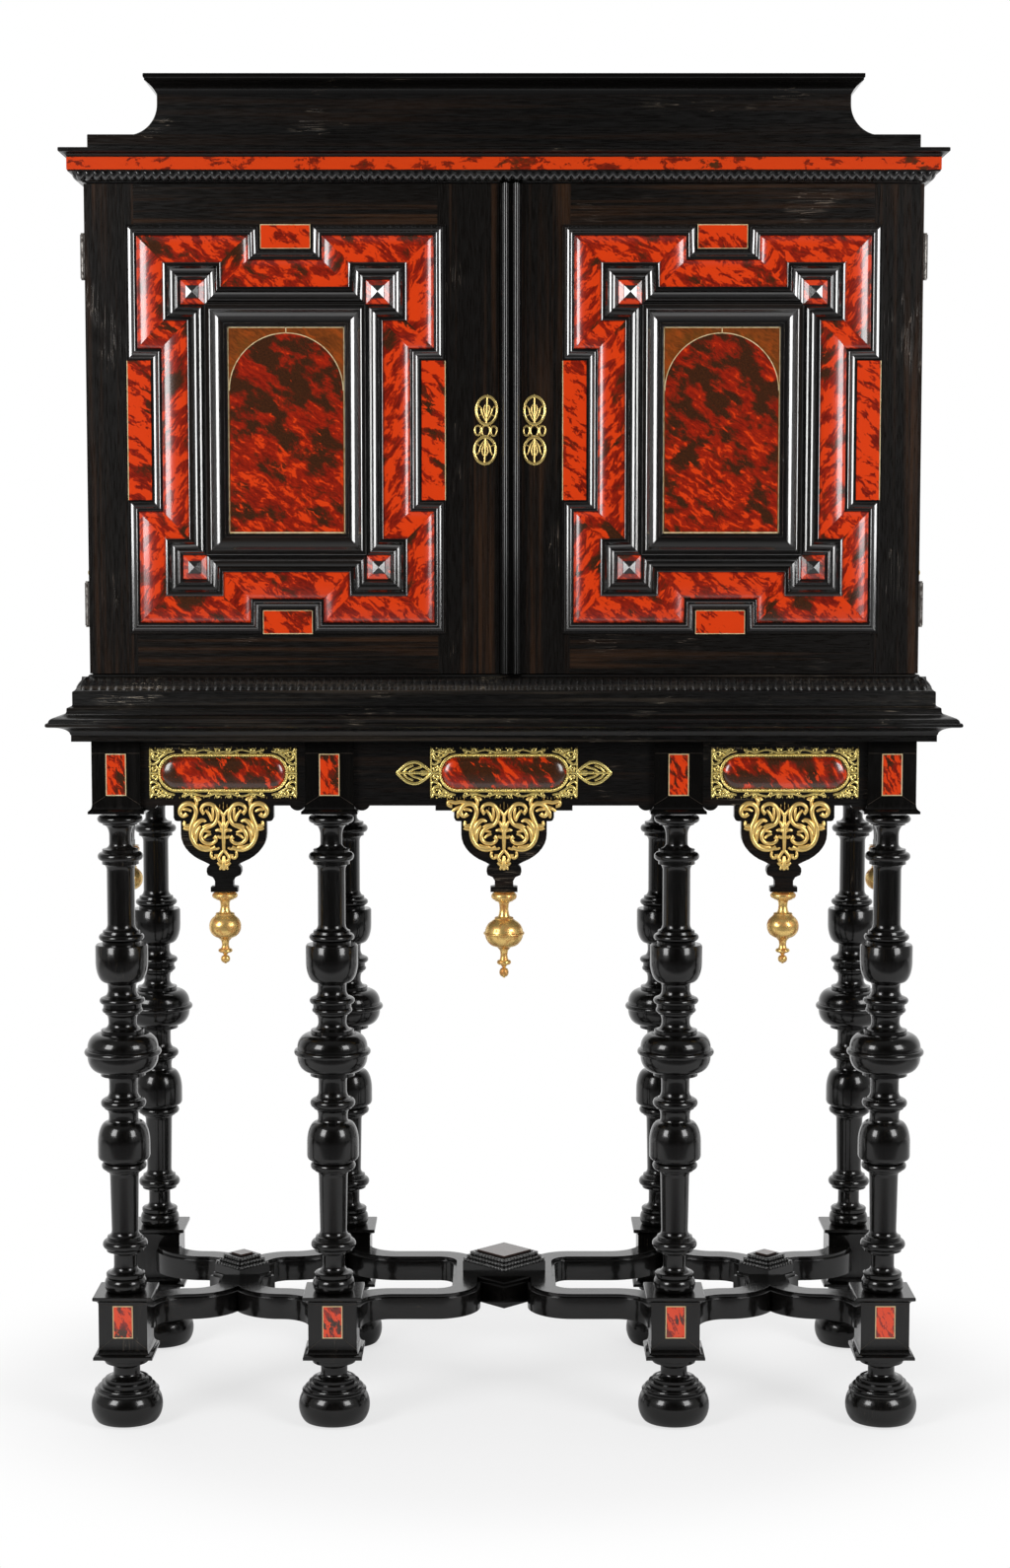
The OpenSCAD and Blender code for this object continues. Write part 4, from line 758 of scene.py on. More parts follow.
shell_moulding = tortoiseshell("shell_moulding", lay_place, 58.0, -0.02, 0.01)
shell_panel = tortoiseshell("shell_panel", lay_place, 50.0, -0.04, 0.06)
shell_field = tortoiseshell("shell_field", lay_place, 84.0, 0.02, -0.04, darker_up=0.09)
shell_amber = tortoiseshell("shell_amber", lay_place, 60.0, 0.0, -0.06, amber=0.8)


def flat_plate(bm, lay, x0, y0, x1, y1, low, high, material=0):
    """A plate lying on the door from low to high, its figure laid at random"""
    made = bmesh.ops.create_cube(bm, size=1)["verts"]
    for v in made:
        x, y = (x0 + x1) / 2 + v.co.x * (x1 - x0), (y0 + y1) / 2 + v.co.y * (y1 - y0)
        v.co = Vector((x, y, low if v.co.z < 0 else high))
    lay_figure(lay, made)
    for face in {f for v in made for f in v.link_faces}:
        face.material_index = material
    return made


# The notches between the bosses, from the mouldings out to the edge of the pattern
mould_w = reed_w + shell_w + edge_w
plate_gap, panel_t, band_gap = 0.1, 3, 1.1
notch_x, notch_y = centre_w / 2 - mould_w - plate_gap, centre_h / 2 - mould_w - plate_gap
in_x, in_y = centre_w / 2 + mould_w + plate_gap, centre_h / 2 + mould_w + plate_gap
half_w, half_h = centre_w / 2 + boss_w + mould_w, centre_h / 2 + boss_w + mould_w
for side in leaves:
    bm, lay = laid_piece()
    all_round(bm, lay, shell_section)
    for s in (-1, 1):
        low, high = sorted((s * in_y, s * (half_h - band_gap)))
        flat_plate(bm, lay, -notch_x, low, notch_x, high, 0, panel_t, 1)
        low, high = sorted((s * in_x, s * (half_w - band_gap)))
        flat_plate(bm, lay, low, -notch_y, high, notch_y, 0, panel_t, 1)
    shells = [shell_moulding, shell_panel]
    on_door(bm, side, "tortoiseshell_{}_plates", shells, "tortoiseshell", 30)

# Centre panels
# An arched field of dark tortoiseshell between amber spandrels, divided by thin
# brass lines let in flush, with one short line over the crown of the arch.


def metal(name, colour, dark, roughness, depths=None, metallic=0.8, dented=0.2):
    """Polished or gilt metal; between two depths along Y it gets darker inwards"""
    made, tree = new_material(name)
    place = object_place(tree)
    tarnish = smooth_range(tree, noise(tree, place, (130, 130, 130), 4), 0.42, 0.7)
    if depths:
        hollow = smooth_range(tree, axes_of(tree, place)["Y"], *[d * mm for d in depths])
        tarnish = largest(tree, math_node(tree, "MULTIPLY", tarnish, 0.4), hollow)
    rough = smooth_range(tree, tarnish, 0.0, 1.0, roughness, roughness + 0.25)
    looks = {"Roughness": rough, "Metallic": metallic}
    dents = noise(tree, place, (420, 420, 420), 3)
    end_material(tree, blend(tree, tarnish, colour, dark), dents, dented, 0.0004, looks)
    return made


brass_line = metal("brass_line", (0.86, 0.72, 0.42), (0.5, 0.36, 0.16), 0.34, metallic=0.35)
line_w, string_w, string_rise = 1.2, 0.8, 0.2
arch_top, arch_side, arch_foot, panel_gap = 132.5, 2.6, 2.2, 0.2
arch_r = opening_w / 2 - arch_side
arch_spring = arch_top - arch_r
half_x, half_y = opening_w / 2 - panel_gap, opening_h / 2 - panel_gap
line_top = panel_t + 0.35
for side in leaves:
    bm, lay = laid_piece()
    flat_plate(bm, lay, -half_x, -half_y, half_x, half_y, 0, panel_t, 1)
    # The arched field stands a hair above the amber ground
    arc = [pi * i / 40 for i in range(41)]
    outline = [(arch_r * cos(a), arch_spring + arch_r * sin(a), 1) for a in arc]
    outline += [(way * arch_r, arch_foot - half_y, 1) for way in (-1, 1)]
    low, high = grown_from(bm, outline)
    for v in high:
        v.co.z = panel_t + 0.15
    lay_figure(lay, low + high)
    on_door(bm, side, "centre_panel_{}", [shell_field, shell_amber])

    bm, lay = laid_piece()
    for x0, y0, x1, y1 in (
        (-half_x, -half_y, half_x, -half_y + line_w * 1.6),
        (-half_x, half_y - line_w, half_x, half_y),
        (-half_x, -half_y, -half_x + line_w, half_y),
        (half_x - line_w, -half_y, half_x, half_y),
        (-line_w / 2, arch_top, line_w / 2, half_y),
    ):
        flat_plate(bm, lay, x0, y0, x1, y1, 1, line_top)
    # Stringing along the edges of the notch panels
    for s in (-1, 1):
        near, far = sorted((s * in_y, s * (half_h - band_gap)))
        inner = near if s > 0 else far - string_w
        low, high = sorted((s * (half_h - band_gap), s * half_h))
        left, right = sorted((s * (half_w - band_gap), s * half_w))
        for x0, y0, x1, y1 in (
            (-notch_x, low, notch_x, high),
            (-notch_x, near, string_w - notch_x, far),
            (notch_x - string_w, near, notch_x, far),
            (-notch_x, inner, notch_x, inner + string_w),
            (left, -notch_y, right, notch_y),
        ):
            flat_plate(bm, lay, x0, y0, x1, y1, 0, panel_t + string_rise)
    far_r = arch_r + line_w
    ring = [(arch_r, 1), (far_r, 1), (far_r, line_top), (arch_r, line_top)]
    face = bm.faces.new([bm.verts.new((r, arch_spring, z)) for r, z in ring])
    centre = (0, arch_spring, 0)
    bmesh.ops.spin(bm, geom=[face], cent=centre, axis=(0, 0, 1), angle=pi, steps=48)
    on_door(bm, side, "brass_lines_{}", [brass_line])

# Corner bosses
# Square bosses let in at the corners of the mouldings, each a sloping border of
# tortoiseshell glued round a steep ebony pyramid.
boss_steps = [(16.3, 0), (16.3, 10.4), (15.6, 11.2), (9.2, 14.4), (8.6, 17.2), (0.3, 20.8)]
for side in leaves:
    bm, lay = laid_piece()
    for bx, bz in boss_mitres:
        x, y = bx * boss_dx, bz * boss_dz
        rings = [[(x + sx * r, y + sy * r, h) for sx, sy in square] for r, h in boss_steps]
        loops = [ring_edges(bm, ring) for ring in rings]
        lay_figure(lay, {v for edges in loops for e in edges for v in e.verts})
        for low, high, (half, _) in zip(loops, loops[1:], boss_steps[1:]):
            for face in bmesh.ops.bridge_loops(bm, edges=low + high)["faces"]:
                face.material_index = 1 if half < 9 else 0
        bmesh.ops.holes_fill(bm, edges=loops[0] + loops[-1])
    woods = [shell_moulding, ebony_moulding]
    on_door(bm, side, "corner_bosses_{}", woods, sharp=10)

# Plates in the leg blocks
# A tortoiseshell plate with an ivory line round it on the front of every block,
# and veneer joints that run to the corners of the block.
ivory = grained(
    "ivory_line", "Z", dark=(0.5, 0.38, 0.2), light=(0.72, 0.6, 0.4),
    crack_colour=(0.2, 0.12, 0.05), roughness=0.4, crack_share=0.3,
)
shell_plate = tortoiseshell("shell_plate", lay_place, 92.0, 0.02, 0.04, turn=(0, 0, 1.1))
mitre_line = grained(
    "mitre_line", "Z", dark=(0.03, 0.022, 0.016), light=(0.07, 0.05, 0.035), roughness=0.4
)
plates, lines, joints = laid_piece()[0], laid_piece()[0], bmesh.new()
plate_w, ivory_w, sunk, line_gap = 12.8, 1.5, -1.2, 2.2
# Half width, height and half height of the plate, foot and head of the joints
upper = (34, block_z + 58, 28, block_z + 16, block_z + 88)
lower = (34.5, foot_h + 0.59 * low_block_h, 22, foot_h + 14, foot_h + 80)
for x in leg_xs:
    for block_half, z, plate_h, foot_z, head_z in (upper, lower):
        front = leg_ys[0] - block_half
        for target, out, high in ((lines, ivory_w, 0.5), (plates, 0, 0.7)):
            w, h = plate_w + out, plate_h + out
            lay = target.verts.layers.float_vector["lay"]
            stood_up(flat_plate(target, lay, -w, -h, w, h, sunk, high), x, front, z)
        for sx in (-1, 1):
            for sz, end in ((-1, foot_z), (1, head_z)):
                near = Vector((sx * (plate_w + line_gap), 0, z + sz * (plate_h + line_gap)))
                far = Vector((sx * (block_half - 0.6), 0, end))
                way = far - near
                lie = Matrix.Rotation(-atan2(way.z, way.x), 4, "Y")
                placed = Matrix.Translation((near + far) / 2 + Vector((x, front, 0))) @ lie
                placed = placed @ Matrix.Diagonal((way.length, 0.4, 0.45, 1))
                bmesh.ops.create_cube(joints, size=1, matrix=Matrix.Scale(mm, 4) @ placed)
finish_piece(plates, "block_plates", [shell_plate], replaced=["block_inlays"])
finish_piece(lines, "block_stringing", [ivory])
finish_piece(joints, "block_mitres", [mitre_line])

# Stretcher and its bosses
# Curved arms with worked edges. Square bosses stand cornerwise where they meet:
# three rows of ripple beads that step in to a tortoiseshell plate.
stretcher_z, end_x = 166, 394
bead_w, bead_out, row_rise = 2.9, 3.5, 5
shell_boss = tortoiseshell("shell_boss", object_place, 60.0, 0.3, -0.3)
paint(shell_boss, "boss_panels")
paint(polished_across, "stretcher_bosses")


def boss_row(bm, x, half, z, count):
    """Beads on the four sides of a square set cornerwise"""
    corners = [Vector(c) for c in ((0, -half, 0), (half, 0, 0), (0, half, 0), (-half, 0, 0))]
    for start, end in zip(corners, corners[1:] + corners[:1]):
        side = end - start
        shape = Matrix.Diagonal((side.length / count * 0.5, bead_out, bead_w, 1))
        lie = Matrix.Scale(mm, 4) @ Matrix.Translation((x, stand_mid, z))
        turn = Matrix.Rotation(atan2(side.y, side.x), 4, "Z") @ shape
        for i in range(count):
            place = lie @ Matrix.Translation(start + side * ((i + 0.5) / count)) @ turn
            bmesh.ops.create_uvsphere(bm, u_segments=8, v_segments=6, radius=1, matrix=place)


bm = bmesh.new()
# Half width, thickness, step in of a row and beads on a side of the lowest row
middle_boss, end_boss = (62, 17, 5, 13), (41, 13, 6, 9)
for x, boss in ((0, middle_boss), (-end_x, end_boss), (end_x, end_boss)):
    half, boss_t, row_in, count = boss
    for row in range(3):
        z = stretcher_z + boss_t + row_rise * row + 2.4
        boss_row(bm, x, half - row_in * row - 2.2, z, count - row)
# Painted sheen: the beads' base colour is raised from black to a dark grey, standing in for
# highlights that their polish does not catch
bead_look_painted_sheen = {**polish, "gloss": 1.0, "coat": 1.0, "roughness": 0.34, "dark": (0.02, 0.019, 0.018)}
beads_polish_painted_sheen = grained("beads_polish_painted_sheen", "X", **bead_look_painted_sheen)
finish_piece(bm, "boss_ripples", [beads_polish_painted_sheen], sharp=80)
# The upper edges of the arms are worked to a round below a small step
for node in [f"stretcher_{end}_{side}" for end in ("front", "rear") for side in ("left", "right")]:
    bm = bmesh.new()
    bm.from_mesh(cad[node].data)
    bmesh.ops.remove_doubles(bm, verts=bm.verts, dist=0.01 * mm)
    bmesh.ops.dissolve_limit(bm, angle_limit=0.01, verts=bm.verts, edges=bm.edges, delimit=set())
    for level, radius, segments in ((stretcher_z - 5, 4.2, 4), (stretcher_z, 1.8, 3)):
        rim = [
            e for e in bm.edges
            if e.is_manifold and e.is_convex and e.calc_face_angle(0) > 1.2
            and all(abs(v.co.z - level * mm) < 0.2 * mm for v in e.verts)
        ]
        bmesh.ops.bevel(
            bm, geom=rim, offset=radius * mm, offset_type="OFFSET", segments=segments, profile=0.5,
            affect="EDGES", material=-1, clamp_overlap=True,
        )
    arm = finish_piece(bm, node + "_moulded", [polished_across], replaced=[node], sharp=50)
    for polygon in arm.data.polygons:
        polygon.use_smooth = abs(polygon.normal.z) < 0.99

# Frieze cabochons
# Long rounded pads of tortoiseshell, ground to a dome and polished, and glued on the
# frieze over the middle of each bay.
frieze_y, gilt_z, bay_x = -198.875, 938, 393
gilt_xs = (-bay_x, 0, bay_x)
pad_straight, pad_r, pad_h, pad_sides = 64.5, 22.5, 9, 48
shell_pad = tortoiseshell("shell_pad", lay_place, 60.0, 0.05, -0.03, turn=(0, 0, 0.9))
round_turns = [2 * pi * (k + 0.5) / pad_sides for k in range(pad_sides)]
bm, lay = laid_piece()
for x in gilt_xs:
    rings = []
    for a in [pi / 2 * i / 8.4 for i in range(9)]:
        r, h = pad_r * cos(a), pad_h * sin(a)
        ends = [(copysign(pad_straight, cos(b)), b) for b in round_turns]
        rings.append([(end + r * cos(b), r * sin(b), h) for end, b in ends])
    before = set(bm.verts)
    stacked(bm, rings)
    pad = [v for v in bm.verts if v not in before]
    lay_figure(lay, pad)
    stood_up(pad, x, frieze_y, gilt_z)
finish_piece(bm, "cabochons_domed", [shell_pad], replaced=["cabochons"], sharp=70)

# Gilt frames
# Pierced castings round the cabochons: a beaded rim, a border of small scrolls with
# knobs on its outer edge, and on the middle frame an open leaf at each end.


def scroll(x, y, r, start, sweep, thick, tip, steps=14):
    """A scroll from its open end in to its eye, as (x, y, half thickness)"""
    made = []
    for t in [i / steps for i in range(steps + 1)]:
        a, now = radians(start + sweep * t), r * (1 - 0.78 * t)
        made.append((x + now * cos(a), y + now * sin(a), thick + (tip - thick) * t))
    return made + [(*made[-1][:2], tip * 1.35)]


def wrought(strokes, place, lift, flat=1.0, closed=False):
    """Rods drawn along strokes of (x, y, half thickness), flattened in height by flat,
    stood on a place of (x, y, z) in mm that faces the front"""
    curve = bpy.data.curves.new("rods", "CURVE")
    curve.dimensions = "3D"
    curve.bevel_depth = 1.0
    curve.bevel_resolution = 2
    curve.use_fill_caps = True
    curve.resolution_u = 4
    for stroke in strokes:
        spline = curve.splines.new("POLY" if closed else "NURBS")
        spline.points.add(len(stroke) - 1)
        for point, (x, y, thick) in zip(spline.points, stroke):
            point.co = (x, y, 0, 1)
            point.radius = thick
        spline.use_cyclic_u = closed
        if not closed:
            spline.order_u = 3
            spline.use_endpoint_u = True
    holder = bpy.data.objects.new("rods", curve)
    made = bmesh.new()
    mesh = bpy.data.meshes.new_from_object(holder)
    made.from_mesh(mesh)
    bpy.data.objects.remove(holder)
    bpy.data.curves.remove(curve)
    bpy.data.meshes.remove(mesh)
    bmesh.ops.remove_doubles(made, verts=made.verts, dist=0.004)
    stood_up(made.verts, place[0], place[1] - lift, place[2], flat)
    return made


def knob(x, y, r):
    return [(x - 0.3, y, r * 0.7), (x, y, r), (x + 0.3, y, r * 0.7)]


def changed(strokes, across=1, up=1, thicker=1, along=0):
    """The strokes moved sideways, stretched or mirrored, and thickened"""

    def point(x, y, thick):
        return across * (x + along), up * y, thick * thicker

    return [[point(*p) for p in stroke] for stroke in strokes]


def both_sides(strokes):
    return strokes + changed(strokes, across=-1)


def stadium_line(r, pitch, low, high):
    """A closed line round a cabochon whose thickness swells into beads"""
    cuts, straight, bend = 6, 2 * pad_straight, pi * r
    half = straight + bend
    steps = round(2 * half / pitch) * cuts
    made = []
    for i in range(steps):
        back, d = divmod(2 * half * i / steps, half)
        way = -1 if back else 1
        if d < straight:
            x, y = -pad_straight + d, -r
        else:
            a = (d - straight) / r - pi / 2
            x, y = pad_straight + r * cos(a), r * sin(a)
        swell = 0.5 - 0.5 * cos(2 * pi * i / cuts)
        made.append((way * x, way * y, low + (high - low) * swell))
    return made


gilt_depths = (frieze_y - 2.6, frieze_y - 0.2)
gilt = metal("gilt_mounts", (0.9, 0.74, 0.27), (0.5, 0.36, 0.1), 0.25, gilt_depths)
border = [[(0, 30.2, 1.2), (9, 27.6, 1.3), (17, 31, 1.3), (26, 33.4, 1.2), (34, 31, 1.2)]]
for x in (0, 34, 68):
    if x:
        border.append([(x, 31, 1.2), (x + 8, 27.8, 1.3), (x + 16, 31, 1.3), (x + 24, 33.6, 1.2)])
    border.append(scroll(x + 8.5, 31.8, 3.4, 200, -330, 1.2, 0.9))
    border.append(scroll(x + 20, 29.4, 3.2, 20, 330, 1.2, 0.9))
    border += [knob(x + 3, 34.6, 1.5), knob(x + 12, 34.9, 1.6)]
    border += [knob(x + 19.5, 34.4, 1.3), knob(x + 27, 34.8, 1.6)]
corner = [
    scroll(93.6, 25.6, 7.4, 250, 420, 1.7, 1.3),
    scroll(84, 30.6, 4.6, 330, -380, 1.5, 1.0),
    [(88, 19, 1.2), (92, 14, 1.7), (99, 11, 1.5), (101.6, 15, 1.2)],
    [(101, 34, 1.4), (98, 30.5, 1.4), (97, 24, 1.2)],
    [(78, 27.6, 1.2), (84, 24.6, 1.6), (90, 20, 1.3)],
    knob(102.2, 34.2, 2.3), knob(94, 35, 1.6), knob(102.6, 25, 1.6), knob(102.8, 17, 1.4),
    scroll(96.5, 6.2, 4.4, 120, 380, 1.5, 1.0),
    knob(102.6, 8, 1.5), [(102.4, 0, 1.4), (99, 0.5, 1.5), (90, 0, 1.0)],
    [(102, 33, 1.1), (102.2, 16, 1.0), (102, 0, 1.1)],
]
border = both_sides(border + corner)
border = changed(border + changed(border, up=-1), thicker=1.25)
wing_half = [
    [(-2, 0, 1.8), (6, 8, 1.7), (18, 15.6, 1.8), (30, 14.6, 1.8), (40, 7.4, 1.7), (47, 0, 1.6)],
    [(30, 1, 1.2), (24, 5.6, 1.3), (15, 7.4, 1.4), (9.6, 10, 1.5), (13.6, 11.6, 1.2)],
    [(38, 0.8, 1.1), (34, 6, 1.3), (28, 9, 1.4), (24, 10.6, 1.2)],
    [(4, 0.6, 1.2), (10, 3.4, 1.4), (13, 1.8, 1.3)],
    knob(16, 14.8, 2.1), knob(6, 8.4, 2.0), knob(38, 9, 1.8),
]
wing = wing_half + changed(wing_half, up=-1)
wing += [[(0, 0, 1.5), (20, 0, 1.8), (44, 0, 1.2)], knob(47.4, 0, 2.4), knob(22, 0, 2.4)]
wing = changed(wing, thicker=1.3, along=103)
rims = [stadium_line(24.1, 3.4, 0.8, 1.9), stadium_line(26.1, 12, 1.0, 1.05)]
bm = bmesh.new()
for x in gilt_xs:
    merge(bm, wrought(rims, (x, frieze_y, gilt_z), 1.0, closed=True))
    merge(bm, wrought(border, (x, frieze_y, gilt_z), 0.9, 1.15))
for way in (-1, 1):
    merge(bm, wrought(changed(wing, across=way), (0, frieze_y, gilt_z), 0.8))
node = "cabochon_frames"
finish_piece(bm, node + "_cast", [gilt], replaced=[node], sharp=70)

# Gilt mounts of the aprons
# Castings in flatter relief, pinned on the aprons: paired scrolls with leaves round a
# palmette, a leaf drop below, and wider shoulders on the middle one.
mount_half = [
    [(26.8, 80.7, 2.6), (30, 83.4, 2), (31.3, 88, 2), (28, 93.1, 2.1), (20.7, 95.3, 2.2),
     (13.4, 92.6, 2.3), (8.2, 84.3, 2.3), (7.9, 75.2, 2.3), (11.5, 66.9, 2.2), (18, 62.7, 2.1),
     (25.3, 60.9, 2.2), (30.8, 55, 2.3), (32.6, 46.7, 2.3), (28, 40, 2.2), (19.8, 37.6, 2.1),
     (12.5, 40.3, 2.1), (9.7, 45.8, 2.1), (13.4, 48.6, 2.7)],
    [(51, 80.7, 2.7), (55.5, 76, 2.3), (60.7, 79.7, 2.5), (61.4, 87, 2.7), (55.5, 93.9, 2.8),
     (47.3, 95.7, 2.8), (39.9, 91.7, 2.7), (37.6, 83.4, 2.6), (40.9, 73.3, 2.6), (45.5, 64.2, 2.5),
     (46.4, 55, 2.5), (44.2, 44, 2.6), (38.1, 34.8, 2.6), (28, 29.3, 2.5), (17, 30.2, 2.2),
     (11.5, 33.9, 2.4)],
    [(57, 86, 1.4), (52, 89, 2.2), (45, 84, 1.3)],
    [(38, 91.7, 1.8), (36.3, 97.2, 2), (40, 102.4, 1.9), (34.5, 103, 2), (32.8, 99.4, 2.4)],
    [(42.6, 50, 1.4), (41.4, 58, 2.6), (39, 65.5, 3), (33, 71, 2.6), (27.5, 72, 2),
     (25, 69.2, 1.6)],
    [(38.6, 41, 1.4), (39, 50, 2.4), (36.6, 58, 2.2), (32, 63.5, 1.3)],
    [(35, 37, 1.2), (29, 33.6, 2.2), (22, 34, 1.6), (19, 33, 1.1)],
    [(17, 27.5, 1.5), (18.9, 22, 1.7), (15.2, 17.4, 1.8), (10.6, 19.3, 1.7), (10.9, 23.8, 2.2)],
    [(0, 29.3, 1.6), (5.6, 23, 1.9), (8.2, 17.4, 1.9), (4.4, 12.4, 1.9), (0.6, 14.4, 1.9)],
    [(0, 7.3, 1.8), (5.6, 7.6, 2.4), (9, 11.9, 1.3)],
    [(0, 13, 1.6), (4.4, 4.6, 2), (5.6, 1.8, 1.2)],
    [(0, 54, 1.6), (6, 60.5, 2.6), (11, 56.4, 1.4)],
    [(0, 56, 1.6), (4.4, 66, 2.6), (7, 70.6, 1.2)],
    [(0, 49, 1.6), (5, 45.6, 2.3), (8.6, 49.6, 1.4)],
    [(0, 76, 1.5), (3.3, 84.3, 2), (9.4, 88.6, 1.2)],
    [(46.4, 64.2, 2), (52, 62.4, 2.6), (56.4, 66, 1.9), (54, 70.2, 1.6)],
    [(45.6, 60, 1.6), (52, 57.4, 2.2), (56.4, 60.6, 1.3)],
    [(16.4, 70, 1.3), (19, 80.5, 2.3), (25, 86, 1.2)],
    [(15.4, 72, 1.2), (13.6, 82, 2.1), (16, 89.4, 1.2)],
    [(31.7, 56.4, 1.2), (25, 57.4, 2.1), (18, 54.6, 1.1)],
    [(27.2, 46, 1.2), (23.4, 51.6, 2), (17.4, 51.8, 1.1)],
    [(29.4, 61.6, 1.2), (22.4, 66.4, 1.9), (13.6, 65.4, 1.3)],
    [(6, 33, 1.2), (9, 30, 1.8), (15, 31, 1.2)],
    knob(5.2, 91.8, 2.4), knob(4.2, 27.6, 2), knob(21, 88, 1.8),
]
mount_middle = [
    [(0, 82, 1.6), (0, 60, 2.6), (0, 40, 2.2), (0, 29, 1.8)],
    [(0, 60, 2.4), (0, 66, 3.1), (0, 72.6, 1.3)],
    [(0, 21, 1.6), (0, 11, 4), (0, 1.4, 1.8)],
    knob(0, 89.6, 3), knob(0, 95, 2.4), knob(0, 35, 3),
]
shoulder_half = [
    [(50, 95, 2), (60, 98.4, 2.3), (68, 95.4, 2.2), (75, 98.6, 2.2), (79, 96.4, 2.1),
     (77.4, 91.4, 2), (72.6, 91.4, 2.4)],
    [(60, 91, 1.5), (68, 88.4, 2.3), (72.6, 84, 1.4)],
    [(62, 87, 1.4), (66.4, 80, 2.1), (64, 74.6, 1.3)],
    knob(79.6, 101, 2.3), knob(66, 101.4, 2.4), knob(56, 101.8, 1.9),
]
relief_depths = (frieze_y - 2.9, frieze_y - 0.4)
gilt_relief = metal("gilt_relief", (0.97, 0.7, 0.25), (0.58, 0.36, 0.1), 0.34, relief_depths)
mount_z = gilt_z - 138
bm = bmesh.new()
for x in gilt_xs:
    strokes = both_sides(mount_half) + mount_middle + (both_sides(shoulder_half) if x == 0 else [])
    merge(bm, wrought(changed(strokes, thicker=1.28), (x, frieze_y, mount_z), 0.9, 1.1))
node = "apron_mounts"
finish_piece(bm, node + "_cast", [gilt_relief], replaced=[node], sharp=70)

# Escutcheons
# Two upright ovals of pierced work above and below the keyhole, with a stem and
# curling branches in each; the left one is false and covers no keyhole.


def oval(rx, ry, x, y, thick, steps=36):
    turns = [2 * pi * i / steps for i in range(steps)]
    return [(x + rx * cos(a), y + ry * sin(a), thick) for a in turns]


stem_half = [
    [(0.8, 13, 1.2), (5, 19, 1.5), (7.2, 26, 1.5), (8, 31.6, 1.4), (12, 33.6, 1.2)],
    [(0.6, 17, 1.1), (3.6, 25, 1.4), (4.2, 31.4, 1.2), (2, 35, 1.2)],
    [(6.4, 22.6, 1.0), (10, 20, 1.2), (13.4, 19.4, 1.2)],
    [(0, 10, 1.2), (5, 9.4, 1.4), (9, 13, 1.3)],
    knob(9.4, 33, 2.1),
]
stem_middle = [
    [(0, 47, 1.4), (0, 30, 1.6), (0, 7, 1.5)],
    knob(0, 43.4, 2.6), knob(0, 37.6, 2.3), knob(0, 31.6, 2), knob(0, 48.8, 1.9), knob(0, 20, 2.2),
]
stems = both_sides(stem_half) + stem_middle
fillings = changed(stems + changed(stems, up=-0.985), thicker=0.86)
waist = [knob(16.2, 0, 1.7), knob(15, 4.6, 1.5), knob(15, -4.6, 1.5)]
fillings += both_sides(waist + [knob(6.6, 7, 1.5), knob(6.6, -7.6, 1.5)])
rings = [
    oval(14.4, 19.2, 0, 27.7, 2.1), oval(14.8, 18.4, 0, -27.4, 2.1),
    oval(4.3, 6.6, 11, -0.2, 1.4, 20), oval(4.3, 6.6, -11, -0.2, 1.4, 20),
    oval(5.6, 7.8, 0, -0.6, 1.3, 24),
]
lock_depths = (door_face - 2.4, door_face - 0.3)
gilt_lock = metal("gilt_escutcheons", (0.86, 0.66, 0.24), (0.28, 0.15, 0.04), 0.26, lock_depths)
for x, side, lean in ((-25, -1, 2.5), (42, 1, 0)):
    bm = wrought(rings, (0, 0, 0), 0.9, 0.85, closed=True)
    merge(bm, wrought(fillings, (0, 0, 0), 0.8, 0.8))
    turn = Matrix.Rotation(radians(lean), 4, "Y")
    placed = Matrix.Translation(Vector((x, door_face, panel_z)) * mm) @ turn
    bmesh.ops.transform(bm, matrix=placed, verts=bm.verts)
    word, leaf = leaves[side]
    name = f"escutcheon_{word}"
    finish_piece(bm, name + "_cast", [gilt_lock], leaf, [name], sharp=70)

# Pendants
# Turned finials, gilt over red, hung under the aprons; the gilding is worn
# to the red ground in random patches.
gilt_look = {"metallic": 0.72, "dented": 0.04}
gilt_wood = metal("gilt_wood", (0.82, 0.56, 0.19), (0.5, 0.22, 0.06), 0.27, **gilt_look)


def ball_part(r, first, last):
    turns = [radians(d) for d in range(first, last, 9)]
    return [((0.35 + 0.65 * cos(a)) * r, 0.72 * sin(a) - 2.2) for a in turns]


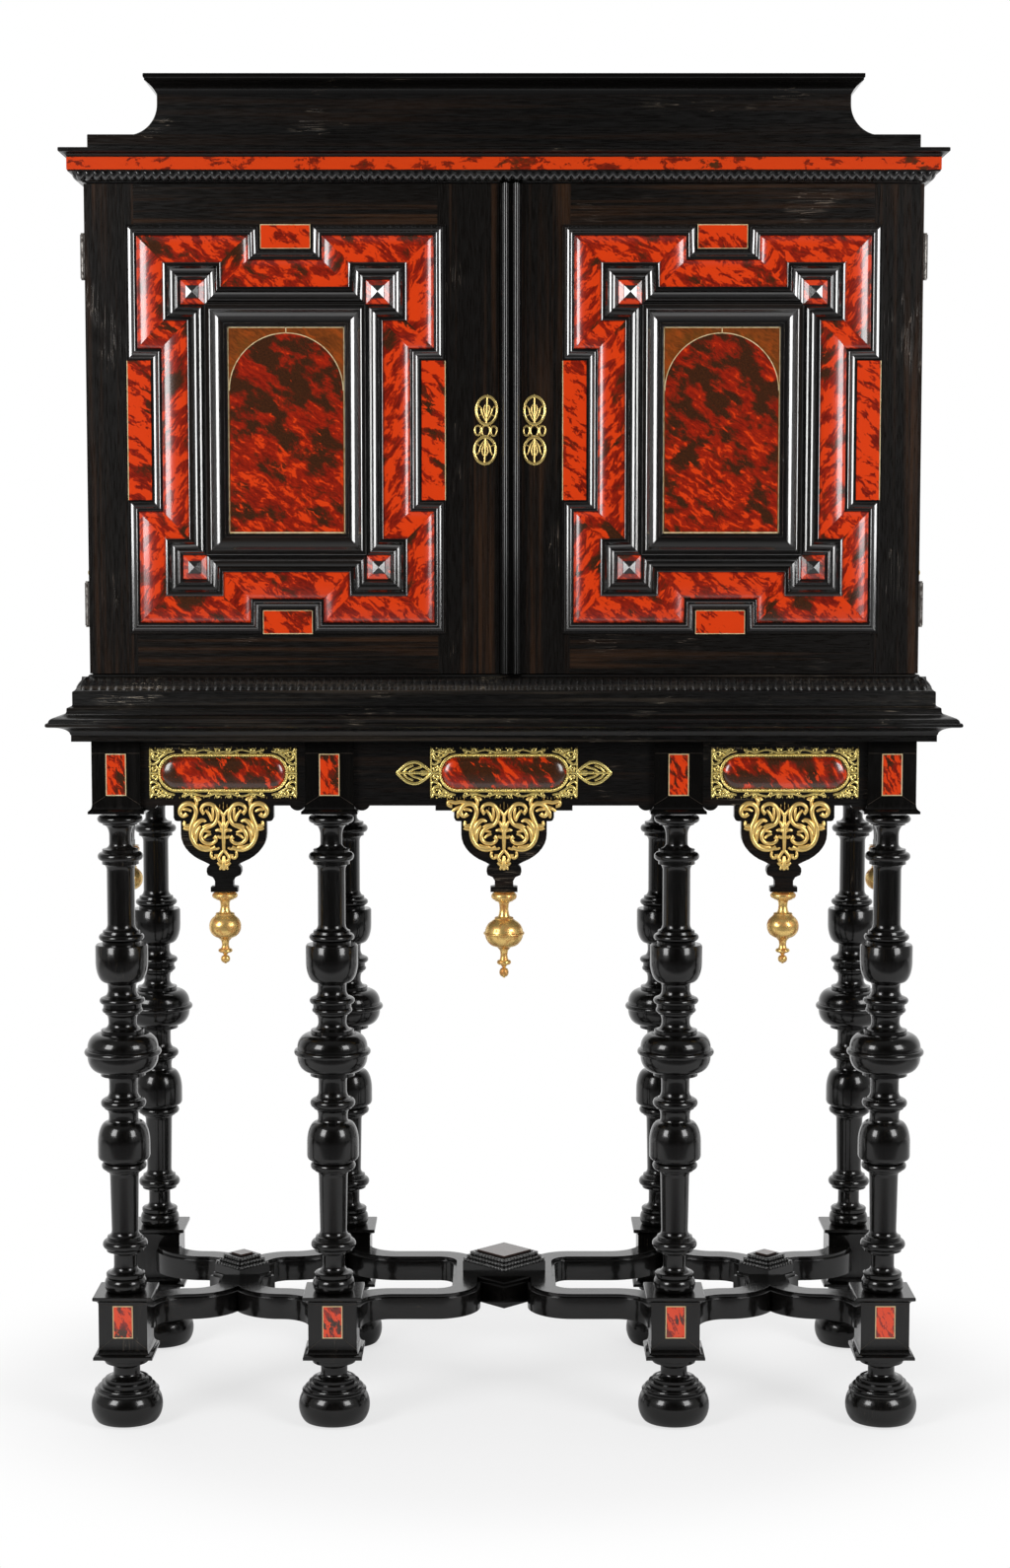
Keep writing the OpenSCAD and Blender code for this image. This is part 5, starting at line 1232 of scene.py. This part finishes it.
def pendant_profile(r, ringed):
    """Radii in mm and heights in radii of the ball, brought to mm at the end"""
    ring = bead(-2.27, -2.13, r, 1.07 * r, 6) if ringed else []
    profile = [
        (1.5, -4.55), *bead(-4.5, -4.02, 1.8, 6.6, 10), (3.4, -3.95), (4.4, -3.88),
        *bead(-3.86, -3.6, 6.2, 10, 8), (5.4, -3.5), (4.8, -3.35), (5.6, -3.12), (8.6, -2.98),
        (9.4, -2.94), *ball_part(r, -66, -3), *ring, *ball_part(r, 7, 70), (13, -1.46),
        (13.4, -1.4), (12.6, -1.36), (8.6, -1.32), (7.2, -1.2), (6.2, -0.95), (6.6, -0.7),
        (8, -0.56), (12.6, -0.5), (13.4, -0.46), *bead(-0.44, -0.06, 13.6, 18, 8), (17.6, 0),
    ]
    return [(out, z * r) for out, z in profile]


ball_r, middle_ball_r, pendant_cuts = 22.5, 27, 40
apron_foot, side_foot, side_x = 770, 812, 559
bm = bmesh.new()
spun(bm, pendant_profile(middle_ball_r, True), 0, frieze_y + 9, apron_foot, pendant_cuts)
for side in (-1, 1):
    for x, y, z in ((bay_x, frieze_y + 9, apron_foot), (side_x, stand_mid, side_foot)):
        spun(bm, pendant_profile(ball_r, False), side * x, y, z, pendant_cuts)
finish_piece(bm, "pendants_turned", [gilt_wood], replaced=["pendants"])

# Tortoiseshell band of the cornice
# A strip of thin shell plates glued in a shallow groove round the front and sides of
# the cornice, under its upper mouldings.
shell_band = tortoiseshell("shell_band", object_place, 55.0, -0.05, 0.1, amber=0.14, turn=(0, 0, 0))
paint(shell_band, "cornice_band")

# Handles and ironwork
# Gilt bails hang between two posts on plates fixed to the case sides. The hinges,
# the bolts and the lock are forged iron.
gilt_plain = metal("gilt_handles", (0.83, 0.62, 0.2), (0.3, 0.17, 0.05), 0.3)
paint(gilt_plain, "handle_plates", "handle_left", "handle_right")
iron = metal("forged_iron", (0.16, 0.15, 0.14), (0.05, 0.04, 0.035), 0.42)
paint(iron, "hinge_leaves_case", "hinge_leaves_left", "hinge_leaves_right", "hinge_pins")
paint(iron, "lock_case", "lock_bolt", "slide_bolt_top", "slide_bolt_bottom", "slide_bolt_guides")

# Carcase and drawers
# Boards of brown oak inside, with the grain along each board. The drawers and the
# door of the middle cupboard are faced with ebony, its grain level.
oak_look = {
    "dark": (0.07, 0.035, 0.016), "light": (0.2, 0.11, 0.05), "crack_colour": (0.02, 0.01, 0.005),
    "roughness": 0.5,
}
paint(grained("oak_across", "X", **oak_look), "carcase_top", "carcase_bottom")
paint(grained("oak_upright", "Z", **oak_look), "back_panel")
paint(grained("oak_deep", "Y", **oak_look), "partitions")
paint(ebony_across, "drawers_left", "drawers_right", "drawers_centre", "cupboard_door")
